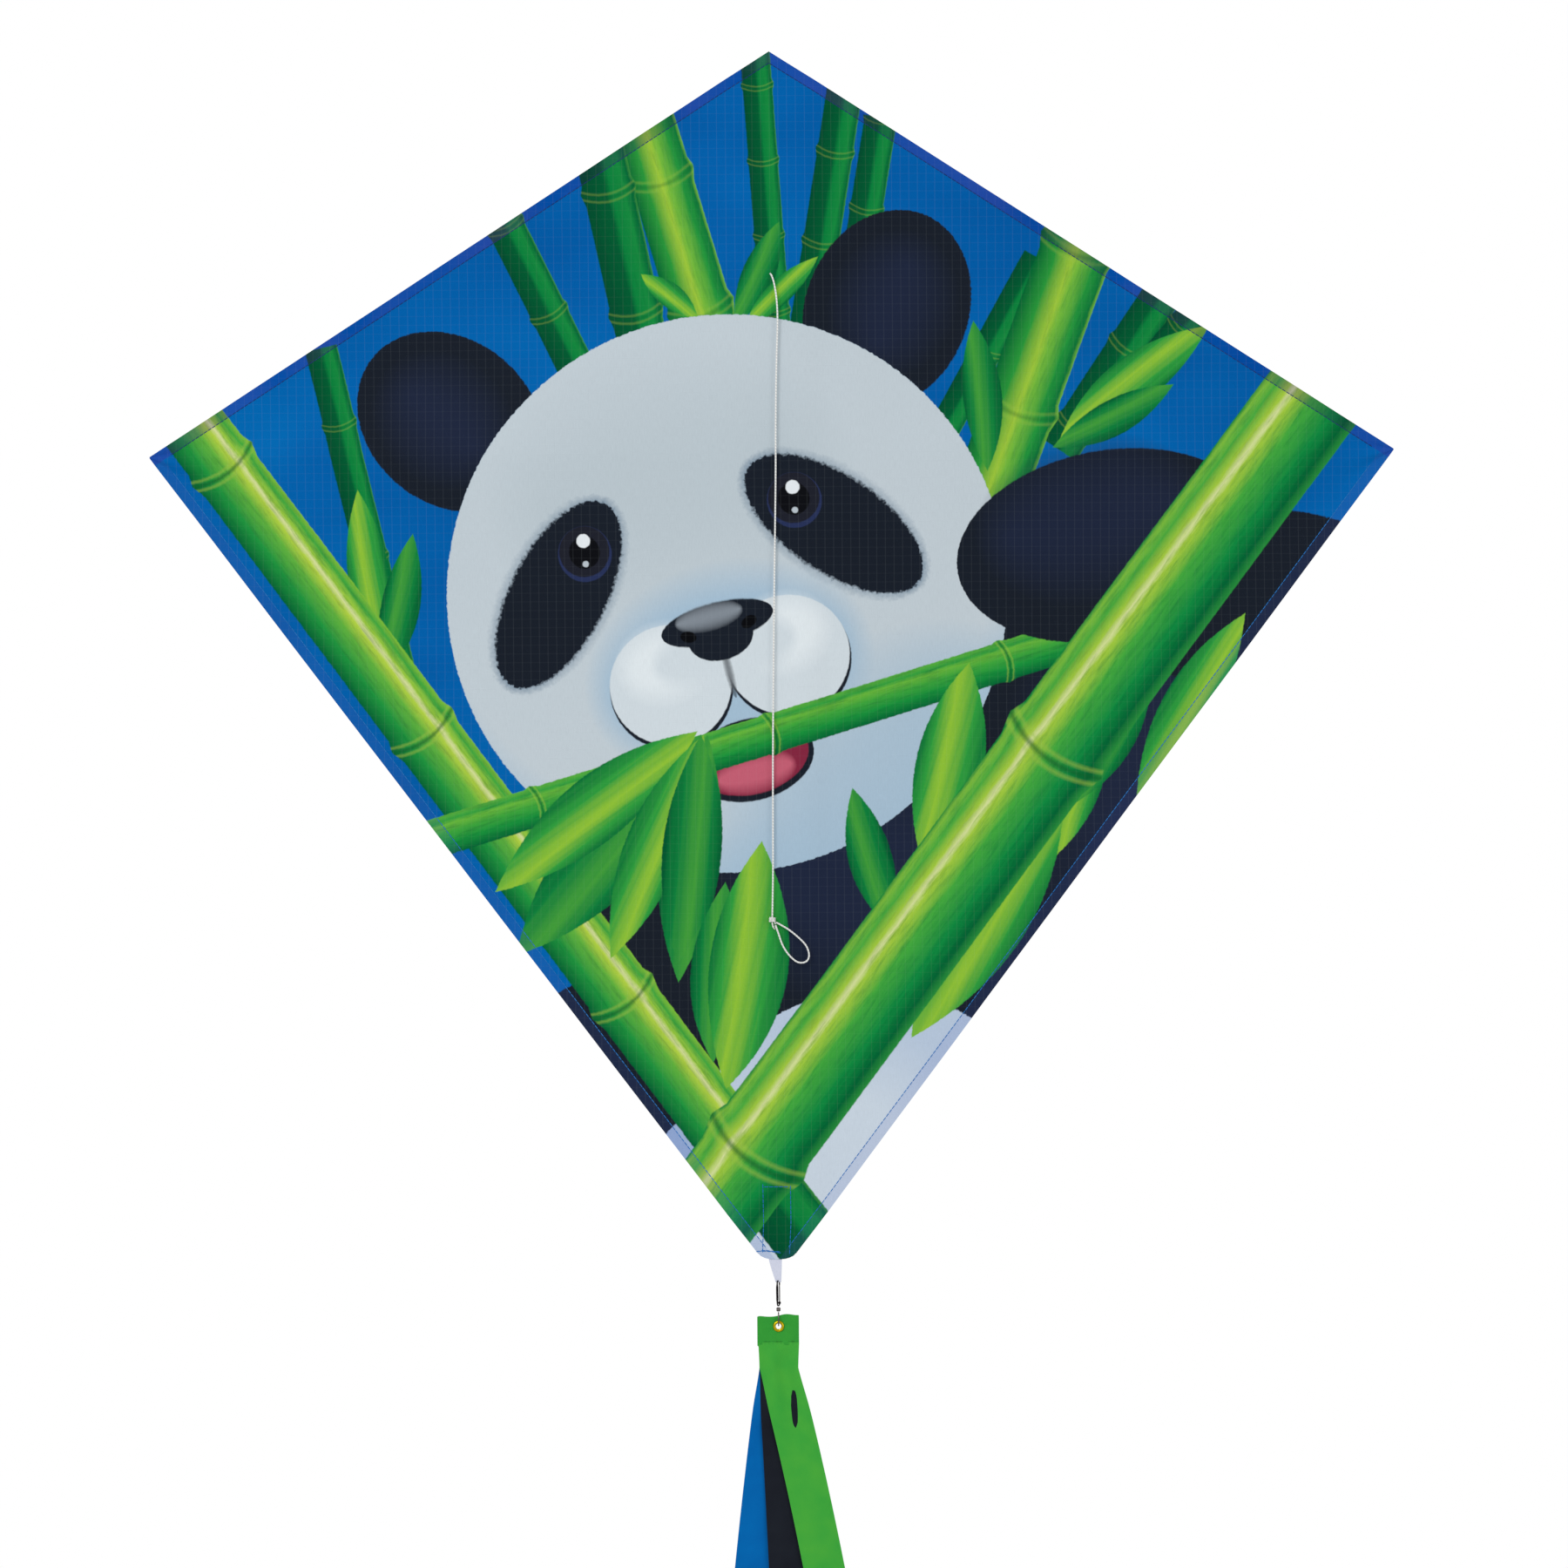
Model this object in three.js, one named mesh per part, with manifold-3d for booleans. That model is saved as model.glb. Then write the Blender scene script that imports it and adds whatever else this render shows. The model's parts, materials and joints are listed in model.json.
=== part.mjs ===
// Diamond kite with a three-streamer tail, in millimetres, +Z up along the spine.
// The printed front of the sail faces -Y, and X runs from the left wing tip to the right one.
// The origin is the middle of the centre fitting's flat back face, level with the cross spar.
// Each wing is hinged beside the centre fitting, and leans back a little from flat.

import * as THREE from 'three';
import { mergeVertices } from 'three/addons/utils/BufferGeometryUtils.js';
import Module from 'manifold-3d';

const wasm = await Module();
wasm.setup();

// ---- Driving dimensions -------------------------------------------------------------

const GAP = 0.3; // between pieces that touch

// sail, as it hangs
const SPAN = 762;
const NOSE_Z = 244.4;
const LOWER_CORNER_Z = -503.9; // where the two lower edges would meet
const TAIL_EDGE_Z = -492.2; // the lower corner is cut off here
const CLOTH = 0.4;
const HEM_WIDTH = 6.4;
const HEM_SHORT = 14; // hems end this far in from the wing tip
const TAIL_CORNERS = [[-9.5, -491], [-3, TAIL_EDGE_Z], [3.5, TAIL_EDGE_Z], [11.2, -489.1]];
const DIHEDRAL = THREE.MathUtils.degToRad(6);

// frame
const SPINE_D = 4;
const SPINE_TOP = 236;
const SPINE_BOTTOM = -484;
const SPAR_D = 3.5;
const BLOCK = { width: 18, depth: 9.5, height: 26, corner: 2 };
const AXIS_Y = -BLOCK.depth / 2; // the spine's and the spars' middle line
const HINGE_X = 13.5;
const ARM = { depth: 8, height: 8, length: 28 };
const SPAR_START = 5; // from the hinge, inside the arm
const SPAR_TO_TIP = 12;
const CAP = { wall: 0.8, depth: 12, floor: 1.2 };
const POCKET = { wall: 0.7, depth: 26, floor: 0.8 };

// bridle
const STRING_D = 1.1;
const STRING_SIDES = 8;
const STRING_IN = -8.9; // the line ends at this depth, behind the sail
const UPPER_HOLE_Z = 108.8;
const LOWER_HOLE_Z = -290.7;
const HOLE_D = 3;
const PATCH_D = 22;
const KNOT = { x: -1.5, y: -12.8, z: -285.2, inner: 1.4, outer: 2.2, height: 3.2 };
const BRIDLE_ROUTE = [
  [0, STRING_IN, UPPER_HOLE_Z],
  [0, -10.2, UPPER_HOLE_Z],
  [0.5, -11.7, 108.2],
  [1.6, -12.7, 105.4],
  [2.7, -13, 100.5],
  [3.8, -12.9, 92],
  [4.2, KNOT.y, 80],
  [3.6, KNOT.y, 62],
  [3, KNOT.y, 40],
  [2.6, KNOT.y, 14],
  [2.4, KNOT.y, -12],
  [1.9, KNOT.y, -42],
  [1.2, KNOT.y, -76],
  [0.6, KNOT.y, -110],
  [0, KNOT.y, -150],
  [-0.5, KNOT.y, -190],
  [-0.7, KNOT.y, -225],
  [-0.9, KNOT.y, -255],
  [-1.3, KNOT.y, -275],
  [-1.5, KNOT.y, -283],
  [-1.5, KNOT.y, -287],
  [-1.1, -12.4, -289.2],
  [-0.4, -11.5, -290.4],
  [0, -10.2, LOWER_HOLE_Z],
  [0, STRING_IN, LOWER_HOLE_Z],
];
const TOW_LOOP_ROUTE = [
  [0.4, -13.2, -288.4],
  [2.1, -13, -293.3],
  [4.7, KNOT.y, -300.7],
  [8.5, KNOT.y, -306.6],
  [13.3, KNOT.y, -310.8],
  [17.4, KNOT.y, -311.3],
  [20, KNOT.y, -309.6],
  [20.7, KNOT.y, -306.1],
  [19.1, KNOT.y, -301.3],
  [15.4, KNOT.y, -297],
  [9, KNOT.y, -291.6],
  [3, KNOT.y, -287.6],
];

// tail
const TAIL_X = 0.6;
const RIBBON = { hinge: -492.9, left: -4.8, right: 2.7, bottom: -507.2, thick: 0.8, hole: 0.95 };
const RIBBON_FOLD = { left: -1.5, right: 2.5, height: 1.2, corner: 0.9 };
const SNAP = { top: -505, bottom: -520.8, width: 5.2, wire: 0.9, bend: 1.2, innerBend: 1.5 };
const SNAP_TURN = THREE.MathUtils.degToRad(-18);
const GATE = { wire: 0.7, top: -507.8, pivot: -519.2 };
const BARREL = { top: -521.4, bottom: -524, radius: 1.3, neck: 0.8, shoulder: 0.6 };
const RING = { top: -524.3, bottom: -533, width: 6, wire: 0.8, bend: 1.4, innerBend: 0.6 };
const EYELET = { z: -533, outer: 7, hole: 3.4, barrel: 4.4, flange: 0.6 };
const HEAD = { x: 0.3, width: 25.4, top: -526, bottom: -545.3, thick: 1.4 };
const STREAMER = { width: 25.4, length: 1016, thick: 0.6, hinge: -558.3, spacing: 1 };
const STREAMER_STEPS = { side: 26, head: 10 };
const STREAMERS = [
  { name: 'green_tail', layer: -1, lean: 0.2065, drift: 78, color: 0x4aac48 },
  { name: 'black_tail', layer: 0, lean: 0.033, drift: 14, color: 0x16191e },
  { name: 'blue_tail', layer: 1, lean: -0.117, drift: -44, color: 0x0a6fb8 },
];

// ---- Values worked out from them ----------------------------------------------------

const SAIL_BACK = -BLOCK.depth - GAP;
const SAIL_FRONT = SAIL_BACK - CLOTH;
const SAIL_Y = (SAIL_BACK + SAIL_FRONT) / 2;
const HEM_BACK = SAIL_BACK + GAP + CLOTH;
const LEAN_IN = (AXIS_Y - SAIL_Y) * Math.sin(DIHEDRAL);
const HALF = HINGE_X + (SPAN / 2 - HINGE_X - LEAN_IN) / Math.cos(DIHEDRAL); // measured along the cloth
const CENTRE_HALF = HINGE_X - GAP;
const PANEL_START = HINGE_X + 2 * GAP;
const SPINE_CAP_R = SPINE_D / 2 + GAP + CAP.wall;
const SPAR_CAP_R = SPAR_D / 2 + GAP + CAP.wall;

// ---- Materials ----------------------------------------------------------------------

const finish = (color, roughness, metalness = 0) =>
  new THREE.MeshStandardMaterial({ color, roughness, metalness });
const sailBlue = () => finish(0x0064b4, 0.75);
const hemBlue = () => finish(0x1a4fa0, 0.78);
const backCloth = () => finish(0x2c7a4a, 0.8);
const vinyl = () => finish(0x14151a, 0.6);
const fibreglass = () => finish(0x1d1f22, 0.35);
const whiteString = () => finish(0xe8e8e4, 0.85);
const whiteRibbon = () => finish(0xd2d4e0, 0.55);
const darkSteel = () => finish(0x3a3638, 0.3, 0.9);
const brightSteel = () => finish(0xd5d5d2, 0.2, 1);
const brass = () => finish(0xc9b13a, 0.28, 1);

// ---- Shapes -------------------------------------------------------------------------

const kite = new THREE.Group();

function add(parent, name, geometry, material) {
  const mesh = new THREE.Mesh(geometry, material);
  mesh.name = name;
  parent.add(mesh);
  return mesh;
}

const vectors = (pairs) => pairs.map(([u, v]) => new THREE.Vector2(u, v));

// The corners of a circle's outline.
function circle(u, v, radius, sides = 24) {
  const angles = Array.from({ length: sides }, (_, i) => (2 * Math.PI * i) / sides);
  return angles.map((angle) => [u + radius * Math.cos(angle), v + radius * Math.sin(angle)]);
}

// A shape pulled out along Z.
function extrude(shape, depth, curveSegments = 12) {
  return new THREE.ExtrudeGeometry(shape, { depth, curveSegments, bevelEnabled: false });
}

// A flat piece with an outline in x and z, between two depths in y. Holes are outlines too.
function slab(outline, front, back, holes = []) {
  const shape = new THREE.Shape(vectors(outline));
  shape.holes = holes.map((hole) => new THREE.Path(vectors(hole)));
  const geometry = extrude(shape, back - front);
  // the shape's own second axis becomes z here, and its depth runs towards the front
  return geometry.rotateX(Math.PI / 2).translate(0, back, 0);
}

// A rod along Z from low to high.
function rod(diameter, low, high, sides = 20) {
  const geometry = new THREE.CylinderGeometry(diameter / 2, diameter / 2, high - low, sides);
  return geometry.rotateX(Math.PI / 2).translate(0, 0, (low + high) / 2);
}

// A cup with its mouth at the origin and its floor up the Z axis.
function cup(inner, outer, depth, floor, sides = 20) {
  const inside = [[0, depth - floor], [inner, depth - floor], [inner, 0]];
  const profile = [...inside, [outer, 0], [outer, depth], [0, depth]];
  return new THREE.LatheGeometry(vectors(profile), sides).rotateX(Math.PI / 2);
}

// A ring round the Z axis, with a rectangular section.
function collar(inner, outer, low, high, sides = 20) {
  const profile = [[inner, low], [outer, low], [outer, high], [inner, high], [inner, low]];
  return new THREE.LatheGeometry(vectors(profile), sides).rotateX(Math.PI / 2);
}

// A round string through the points.
function string(points, steps) {
  const section = new THREE.Shape(vectors(circle(0, 0, STRING_D / 2, STRING_SIDES)));
  const places = points.map((point) => new THREE.Vector3(...point));
  const route = new THREE.CatmullRomCurve3(places, false, 'centripetal');
  return new THREE.ExtrudeGeometry(section, { extrudePath: route, steps });
}

// The outline of a rectangle with round corners, in a plane of u and v.
function roundedRectangle(shape, left, bottom, right, top, radius) {
  shape.moveTo(left + radius, bottom);
  shape.lineTo(right - radius, bottom);
  shape.absarc(right - radius, bottom + radius, radius, -Math.PI / 2, 0);
  shape.lineTo(right, top - radius);
  shape.absarc(right - radius, top - radius, radius, 0, Math.PI / 2);
  shape.lineTo(left + radius, top);
  shape.absarc(left + radius, top - radius, radius, Math.PI / 2, Math.PI);
  shape.lineTo(left, bottom + radius);
  shape.absarc(left + radius, bottom + radius, radius, Math.PI, 1.5 * Math.PI);
  return shape;
}

function toSolid(geometry) {
  const bare = geometry.clone();
  bare.deleteAttribute('normal');
  bare.deleteAttribute('uv');
  const merged = mergeVertices(bare.index ? bare.toNonIndexed() : bare, 1e-4);
  return new wasm.Manifold(
    new wasm.Mesh({
      numProp: 3,
      vertProperties: new Float32Array(merged.attributes.position.array),
      triVerts: new Uint32Array(merged.index.array),
    }),
  );
}

function fromSolid(solid) {
  const mesh = solid.getMesh();
  const geometry = new THREE.BufferGeometry();
  geometry.setAttribute('position', new THREE.BufferAttribute(new Float32Array(mesh.vertProperties), 3));
  geometry.setIndex(new THREE.BufferAttribute(new Uint32Array(mesh.triVerts), 1));
  geometry.computeVertexNormals();
  return geometry;
}

// ---- Centre of the kite: spine, fitting and the middle strip of the sail -------------

const upperEdge = (x) => NOSE_Z * (1 - x / HALF);
const lowerEdge = (x) => LOWER_CORNER_Z * (1 - x / HALF);

function makeCentre() {
  const block = new THREE.Shape();
  roundedRectangle(block, -BLOCK.width / 2, 0, BLOCK.width / 2, BLOCK.depth, BLOCK.corner);
  block.holes.push(new THREE.Path(vectors(circle(0, BLOCK.depth / 2, SPINE_D / 2 + GAP, 20))));
  const blockSolid = extrude(block, BLOCK.height, 6);
  add(kite, 'centre_block', blockSolid.translate(0, -BLOCK.depth, -BLOCK.height / 2), vinyl());

  add(kite, 'spine_rod', rod(SPINE_D, SPINE_BOTTOM, SPINE_TOP).translate(0, AXIS_Y, 0), fibreglass());
  for (const [end, z, up] of [['nose', SPINE_TOP, 1], ['tail', SPINE_BOTTOM, -1]]) {
    const flip = up > 0 ? 0 : Math.PI;
    const capEnd = z + up * (GAP + CAP.floor);
    const cap = cup(SPINE_D / 2 + GAP, SPINE_CAP_R, CAP.depth, CAP.floor).rotateX(flip);
    add(kite, `${end}_cap`, cap.translate(0, AXIS_Y, capEnd - up * CAP.depth), vinyl());
    const pocketEnd = capEnd + up * (GAP + POCKET.floor);
    const pocketInner = SPINE_CAP_R + GAP;
    const pocket = cup(pocketInner, pocketInner + POCKET.wall, POCKET.depth, POCKET.floor).rotateX(flip);
    add(kite, `${end}_pocket`, pocket.translate(0, AXIS_Y, pocketEnd - up * POCKET.depth), backCloth());
  }

  const strip = [
    [-CENTRE_HALF, lowerEdge(CENTRE_HALF)],
    ...TAIL_CORNERS,
    [CENTRE_HALF, lowerEdge(CENTRE_HALF)],
    [CENTRE_HALF, upperEdge(CENTRE_HALF)],
    [0, NOSE_Z],
    [-CENTRE_HALF, upperEdge(CENTRE_HALF)],
  ];
  const holes = [UPPER_HOLE_Z, LOWER_HOLE_Z].map((z) => circle(0, z, HOLE_D / 2, 16));
  add(kite, 'sail_centre', slab(strip, SAIL_FRONT, SAIL_BACK, holes), sailBlue());
}

// ---- Wings: sail panel, hems, tip pocket, cross spar half, its cap and the fitting's arm ----

// A band inside a straight edge of the sail, between two places in x.
function edgeBand(edge, start, end, side) {
  const from = new THREE.Vector2(start, edge(start));
  const to = new THREE.Vector2(end, edge(end));
  const along = to.clone().sub(from).normalize();
  const inward = new THREE.Vector2(along.y, -along.x);
  if (inward.y * edge(start) > 0) inward.negate();
  const innerEnds = [to, from].map((point) => point.clone().addScaledVector(inward, HEM_WIDTH));
  return [from, to, ...innerEnds].map((point) => [side * (point.x - HINGE_X), point.y]);
}

function makeWing(name, side) {
  const wing = new THREE.Group();
  wing.position.set(side * HINGE_X, AXIS_Y, 0);
  wing.rotation.z = side * DIHEDRAL;
  kite.add(wing);

  const panel = [
    [PANEL_START, lowerEdge(PANEL_START)],
    [HALF, 0],
    [PANEL_START, upperEdge(PANEL_START)],
  ].map(([x, z]) => [side * (x - HINGE_X), z]);
  add(wing, `${name}_sail_panel`, slab(panel, SAIL_FRONT - AXIS_Y, SAIL_BACK - AXIS_Y), sailBlue());

  const hemStart = PANEL_START + HEM_WIDTH;
  const hemEnd = HALF - HEM_SHORT;
  for (const [place, edge] of [['upper', upperEdge], ['lower', lowerEdge]]) {
    const band = edgeBand(edge, hemStart, hemEnd, side);
    const hem = slab(band, SAIL_BACK + GAP - AXIS_Y, HEM_BACK - AXIS_Y);
    add(wing, `${name}_${place}_hem`, hem, hemBlue());
  }

  // the arm is round about the hinge at its inner end, and bored for the spar from its outer end
  const armShape = new THREE.Shape();
  armShape.absarc(0, 0, ARM.depth / 2, Math.PI / 2, 1.5 * Math.PI);
  armShape.lineTo(ARM.length, -ARM.depth / 2);
  armShape.lineTo(ARM.length, ARM.depth / 2);
  const armBody = extrude(armShape, ARM.height, 14).translate(0, 0, -ARM.height / 2);
  const turned = side > 0 ? 0 : Math.PI;
  const boreStart = SPAR_START - GAP;
  const boreEnd = ARM.length + GAP;
  const bore = rod(SPAR_D + 2 * GAP, boreStart, boreEnd).rotateY(Math.PI / 2);
  const arm = fromSolid(toSolid(armBody).subtract(toSolid(bore)));
  add(wing, `${name}_connector_arm`, arm.rotateZ(turned), vinyl());

  const spread = side * (Math.PI / 2);
  const sparEnd = HALF - HINGE_X - SPAR_TO_TIP;
  add(wing, `${name}_cross_spar`, rod(SPAR_D, SPAR_START, sparEnd).rotateY(spread), fibreglass());

  const capEnd = sparEnd + GAP + CAP.floor;
  const cap = cup(SPAR_D / 2 + GAP, SPAR_CAP_R, CAP.depth, CAP.floor).translate(0, 0, capEnd - CAP.depth);
  add(wing, `${name}_tip_cap`, cap.rotateY(spread), vinyl());

  const pocketEnd = capEnd + GAP + POCKET.floor;
  const pocketInner = SPAR_CAP_R + GAP;
  const pocket = cup(pocketInner, pocketInner + POCKET.wall, POCKET.depth, POCKET.floor);
  pocket.translate(0, 0, pocketEnd - POCKET.depth);
  add(wing, `${name}_tip_pocket`, pocket.rotateY(spread), backCloth());
}

// ---- Bridle: patches, hitches round the spine, line, and the tow loop on it ----------

function makeBridle() {
  for (const [place, z] of [['upper', UPPER_HOLE_Z], ['lower', LOWER_HOLE_Z]]) {
    const hole = circle(0, z, HOLE_D / 2, 16);
    const patch = slab(circle(0, z, PATCH_D / 2, 32), SAIL_BACK + GAP, HEM_BACK, [hole]);
    add(kite, `${place}_bridle_patch`, patch, backCloth());
    const hitch = collar(SPINE_D / 2 + GAP, SPINE_D / 2 + GAP + STRING_D, z - STRING_D, z + STRING_D);
    add(kite, `${place}_bridle_hitch`, hitch.translate(0, AXIS_Y, 0), whiteString());
  }

  add(kite, 'bridle_line', string(BRIDLE_ROUTE, 80), whiteString());

  const knot = collar(KNOT.inner, KNOT.outer, -KNOT.height / 2, KNOT.height / 2, 16);
  add(kite, 'tow_knot', knot.translate(KNOT.x, KNOT.y, KNOT.z), whiteString());

  add(kite, 'tow_loop', string(TOW_LOOP_ROUTE, 32), whiteString());
}

// ---- Tail: ribbon loop, snap, swivel, eyelet and streamers ---------------------------

function makeRibbon() {
  const foldTop = RIBBON.bottom + RIBBON_FOLD.height;
  const ribbon = [
    [RIBBON.left, RIBBON.hinge - GAP],
    [RIBBON_FOLD.left, foldTop],
    [RIBBON_FOLD.left + RIBBON_FOLD.corner, RIBBON.bottom],
    [RIBBON_FOLD.right - RIBBON_FOLD.corner, RIBBON.bottom],
    [RIBBON_FOLD.right, foldTop],
    [RIBBON.right, RIBBON.hinge - GAP],
  ];
  const eye = circle(TAIL_X, SNAP.top - SNAP.wire / 2, RIBBON.hole, 14);
  const front = SAIL_Y - RIBBON.thick / 2;
  add(kite, 'ribbon_loop', slab(ribbon, front, front + RIBBON.thick, [eye]), whiteRibbon());
}

// The upper half of a rectangle's outline with cut corners, in u and v.
const cutCorners = (u, v, cut) => [[u, v - cut], [u - cut, v], [-u + cut, v], [-u, v - cut]];

function makeSnap() {
  // the snap's wires lie in a plane that is turned from the kite's plane of symmetry
  const snap = new THREE.Group();
  snap.position.set(TAIL_X, SAIL_Y, 0);
  snap.rotation.z = SNAP_TURN;
  kite.add(snap);

  // a rectangle of wire, open on the side where the gate is
  const half = SNAP.width / 2;
  const middle = (SNAP.top + SNAP.bottom) / 2;
  const reach = (SNAP.top - SNAP.bottom) / 2;
  const outerTop = cutCorners(half, reach, SNAP.bend);
  const innerTop = cutCorners(half - SNAP.wire, reach - SNAP.wire, SNAP.innerBend - SNAP.wire);
  const flipped = (points) => points.map(([u, v]) => [u, -v]);
  const outside = [...outerTop, ...flipped(outerTop).reverse()];
  const inside = [...flipped(innerTop), ...innerTop.reverse()];
  const outline = [...outside, ...inside].map(([u, v]) => [u, middle + v]);
  const frame = new THREE.Shape(vectors(outline));
  add(snap, 'snap_frame', wirePlate(frame, SNAP.wire), darkSteel());

  const gateY = half - SNAP.wire / 2;
  const gate = new THREE.BoxGeometry(GATE.wire, GATE.wire, GATE.top - GATE.pivot);
  add(snap, 'snap_gate', gate.translate(0, gateY, (GATE.top + GATE.pivot) / 2), brightSteel());

  const barrel = [
    [0, BARREL.bottom],
    [BARREL.neck, BARREL.bottom],
    [BARREL.radius, BARREL.bottom + BARREL.shoulder],
    [BARREL.radius, BARREL.top - BARREL.shoulder],
    [BARREL.neck, BARREL.top],
    [0, BARREL.top],
  ];
  const barrelSolid = new THREE.LatheGeometry(vectors(barrel), 16).rotateX(Math.PI / 2);
  add(kite, 'swivel_barrel', barrelSolid.translate(TAIL_X, SAIL_Y, 0), brightSteel());

  const ring = new THREE.Shape();
  roundedRectangle(ring, -RING.width / 2, RING.bottom, RING.width / 2, RING.top, RING.bend);
  const hollow = new THREE.Path();
  const innerX = RING.width / 2 - RING.wire;
  const innerLow = RING.bottom + RING.wire;
  const innerHigh = RING.top - RING.wire;
  roundedRectangle(hollow, -innerX, innerLow, innerX, innerHigh, RING.innerBend);
  ring.holes.push(hollow);
  const ringPlate = wirePlate(ring, RING.wire).translate(TAIL_X, SAIL_Y, 0);
  add(kite, 'swivel_ring', ringPlate, brightSteel());
}

// A wire bent in the plane of y and z, from its outline there.
function wirePlate(shape, wire) {
  const geometry = extrude(shape, wire, 5);
  return geometry.translate(0, 0, -wire / 2).rotateX(Math.PI / 2).rotateZ(Math.PI / 2);
}

// How far a streamer's middle line has moved sideways at a depth below the head.
function streamerX(streamer, depth) {
  const share = depth / STREAMER.length;
  const steep = streamer.lean * depth * (1 - share) ** 2;
  return TAIL_X + steep + streamer.drift * share * share * (3 - 2 * share);
}

function makeStreamer(streamer) {
  const half = STREAMER.width / 2;
  const end = STREAMER.length - (HEAD.bottom - STREAMER.hinge);
  const left = [];
  const right = [];
  for (let i = 0; i <= STREAMER_STEPS.side; i += 1) {
    const depth = (end * i) / STREAMER_STEPS.side;
    const z = STREAMER.hinge - depth;
    const x = streamerX(streamer, depth);
    left.push([x - half, z]);
    right.push([x + half, z]);
  }
  const roundTop = [];
  for (let i = 1; i < STREAMER_STEPS.head; i += 1) {
    const angle = (Math.PI * i) / STREAMER_STEPS.head;
    roundTop.push([TAIL_X + half * Math.cos(angle), STREAMER.hinge + half * Math.sin(angle)]);
  }
  const outline = [...left, ...right.reverse(), ...roundTop];
  const front = SAIL_Y + streamer.layer * STREAMER.spacing - STREAMER.thick / 2;
  add(kite, streamer.name, slab(outline, front, front + STREAMER.thick), finish(streamer.color, 0.7));
}

function makeTail() {
  const left = HEAD.x - HEAD.width / 2;
  const right = HEAD.x + HEAD.width / 2;
  const outline = [[left, HEAD.bottom], [right, HEAD.bottom], [right, HEAD.top], [left, HEAD.top]];
  const hole = circle(TAIL_X, EYELET.z, EYELET.barrel / 2 + GAP);
  const head = slab(outline, SAIL_Y - HEAD.thick / 2, SAIL_Y + HEAD.thick / 2, [hole]);
  add(kite, 'tail_head', head, finish(0x2f9a3c, 0.72));

  const flangeIn = HEAD.thick / 2 + GAP;
  const flangeOut = flangeIn + EYELET.flange;
  const profile = [
    [EYELET.hole / 2, -flangeOut],
    [EYELET.outer / 2, -flangeOut],
    [EYELET.outer / 2, -flangeIn],
    [EYELET.barrel / 2, -flangeIn],
    [EYELET.barrel / 2, flangeIn],
    [EYELET.outer / 2, flangeIn],
    [EYELET.outer / 2, flangeOut],
    [EYELET.hole / 2, flangeOut],
    [EYELET.hole / 2, -flangeOut],
  ];
  const eyelet = new THREE.LatheGeometry(vectors(profile), 24);
  add(kite, 'tail_eyelet', eyelet.translate(TAIL_X, SAIL_Y, EYELET.z), brass());

  for (const streamer of STREAMERS) makeStreamer(streamer);
}

makeCentre();
makeWing('left', -1);
makeWing('right', 1);
makeBridle();
makeRibbon();
makeSnap();
makeTail();

export default kite;
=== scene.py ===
"""The looks of a diamond kite with a three-streamer tail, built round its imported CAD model.

Metres, +Z up along the spine, printed front towards -Y. The sail is worked out in flat
coordinates, x across and z up in millimetres from the spar crossing, and then placed by on_sail().
The print is a generic design of simple shapes: a round animal face among bamboo canes.
"""

import json
import math

import bpy
import numpy as np
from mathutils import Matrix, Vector


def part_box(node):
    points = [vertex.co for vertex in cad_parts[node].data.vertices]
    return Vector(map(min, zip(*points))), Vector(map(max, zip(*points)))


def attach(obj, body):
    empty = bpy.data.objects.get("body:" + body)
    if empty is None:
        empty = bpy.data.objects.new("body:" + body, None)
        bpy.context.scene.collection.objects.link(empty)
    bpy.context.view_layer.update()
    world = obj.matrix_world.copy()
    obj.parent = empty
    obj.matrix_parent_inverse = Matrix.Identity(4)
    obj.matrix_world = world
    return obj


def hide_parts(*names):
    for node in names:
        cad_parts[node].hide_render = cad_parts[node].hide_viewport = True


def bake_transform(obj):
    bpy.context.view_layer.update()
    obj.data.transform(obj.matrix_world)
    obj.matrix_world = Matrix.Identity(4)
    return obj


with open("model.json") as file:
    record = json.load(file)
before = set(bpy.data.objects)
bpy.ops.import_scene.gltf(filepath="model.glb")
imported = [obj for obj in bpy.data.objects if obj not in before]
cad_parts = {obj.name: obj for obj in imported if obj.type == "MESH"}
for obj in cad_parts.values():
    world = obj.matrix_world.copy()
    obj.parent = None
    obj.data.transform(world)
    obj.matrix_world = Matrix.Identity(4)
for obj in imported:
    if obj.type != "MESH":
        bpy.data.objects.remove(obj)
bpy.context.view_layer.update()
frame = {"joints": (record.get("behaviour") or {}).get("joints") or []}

JOINTS = {joint["name"]: joint for joint in frame["joints"]}
MM = 0.001

# ---- Sizes in millimetres, from the frame ----


def box_mm(node):
    """A node's lowest and highest corners, in millimetres."""
    low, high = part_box(node)
    return np.array(low) / MM, np.array(high) / MM


def joint_mm(name):
    return np.array(JOINTS[name]["pos_m"]) / MM


LEAN = math.radians(6)  # how far each wing leans back from flat
HINGE_X, AXIS_Y = joint_mm("right_wing_fold")[:2]
CENTRE_LOW, CENTRE_HIGH = box_mm("sail_centre")
SAIL_Y = (CENTRE_LOW[1] + CENTRE_HIGH[1]) / 2
NOSE_Z, TAIL_EDGE_Z = CENTRE_HIGH[2], CENTRE_LOW[2]
TIP_X = box_mm("right_sail_panel")[1][0]
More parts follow.
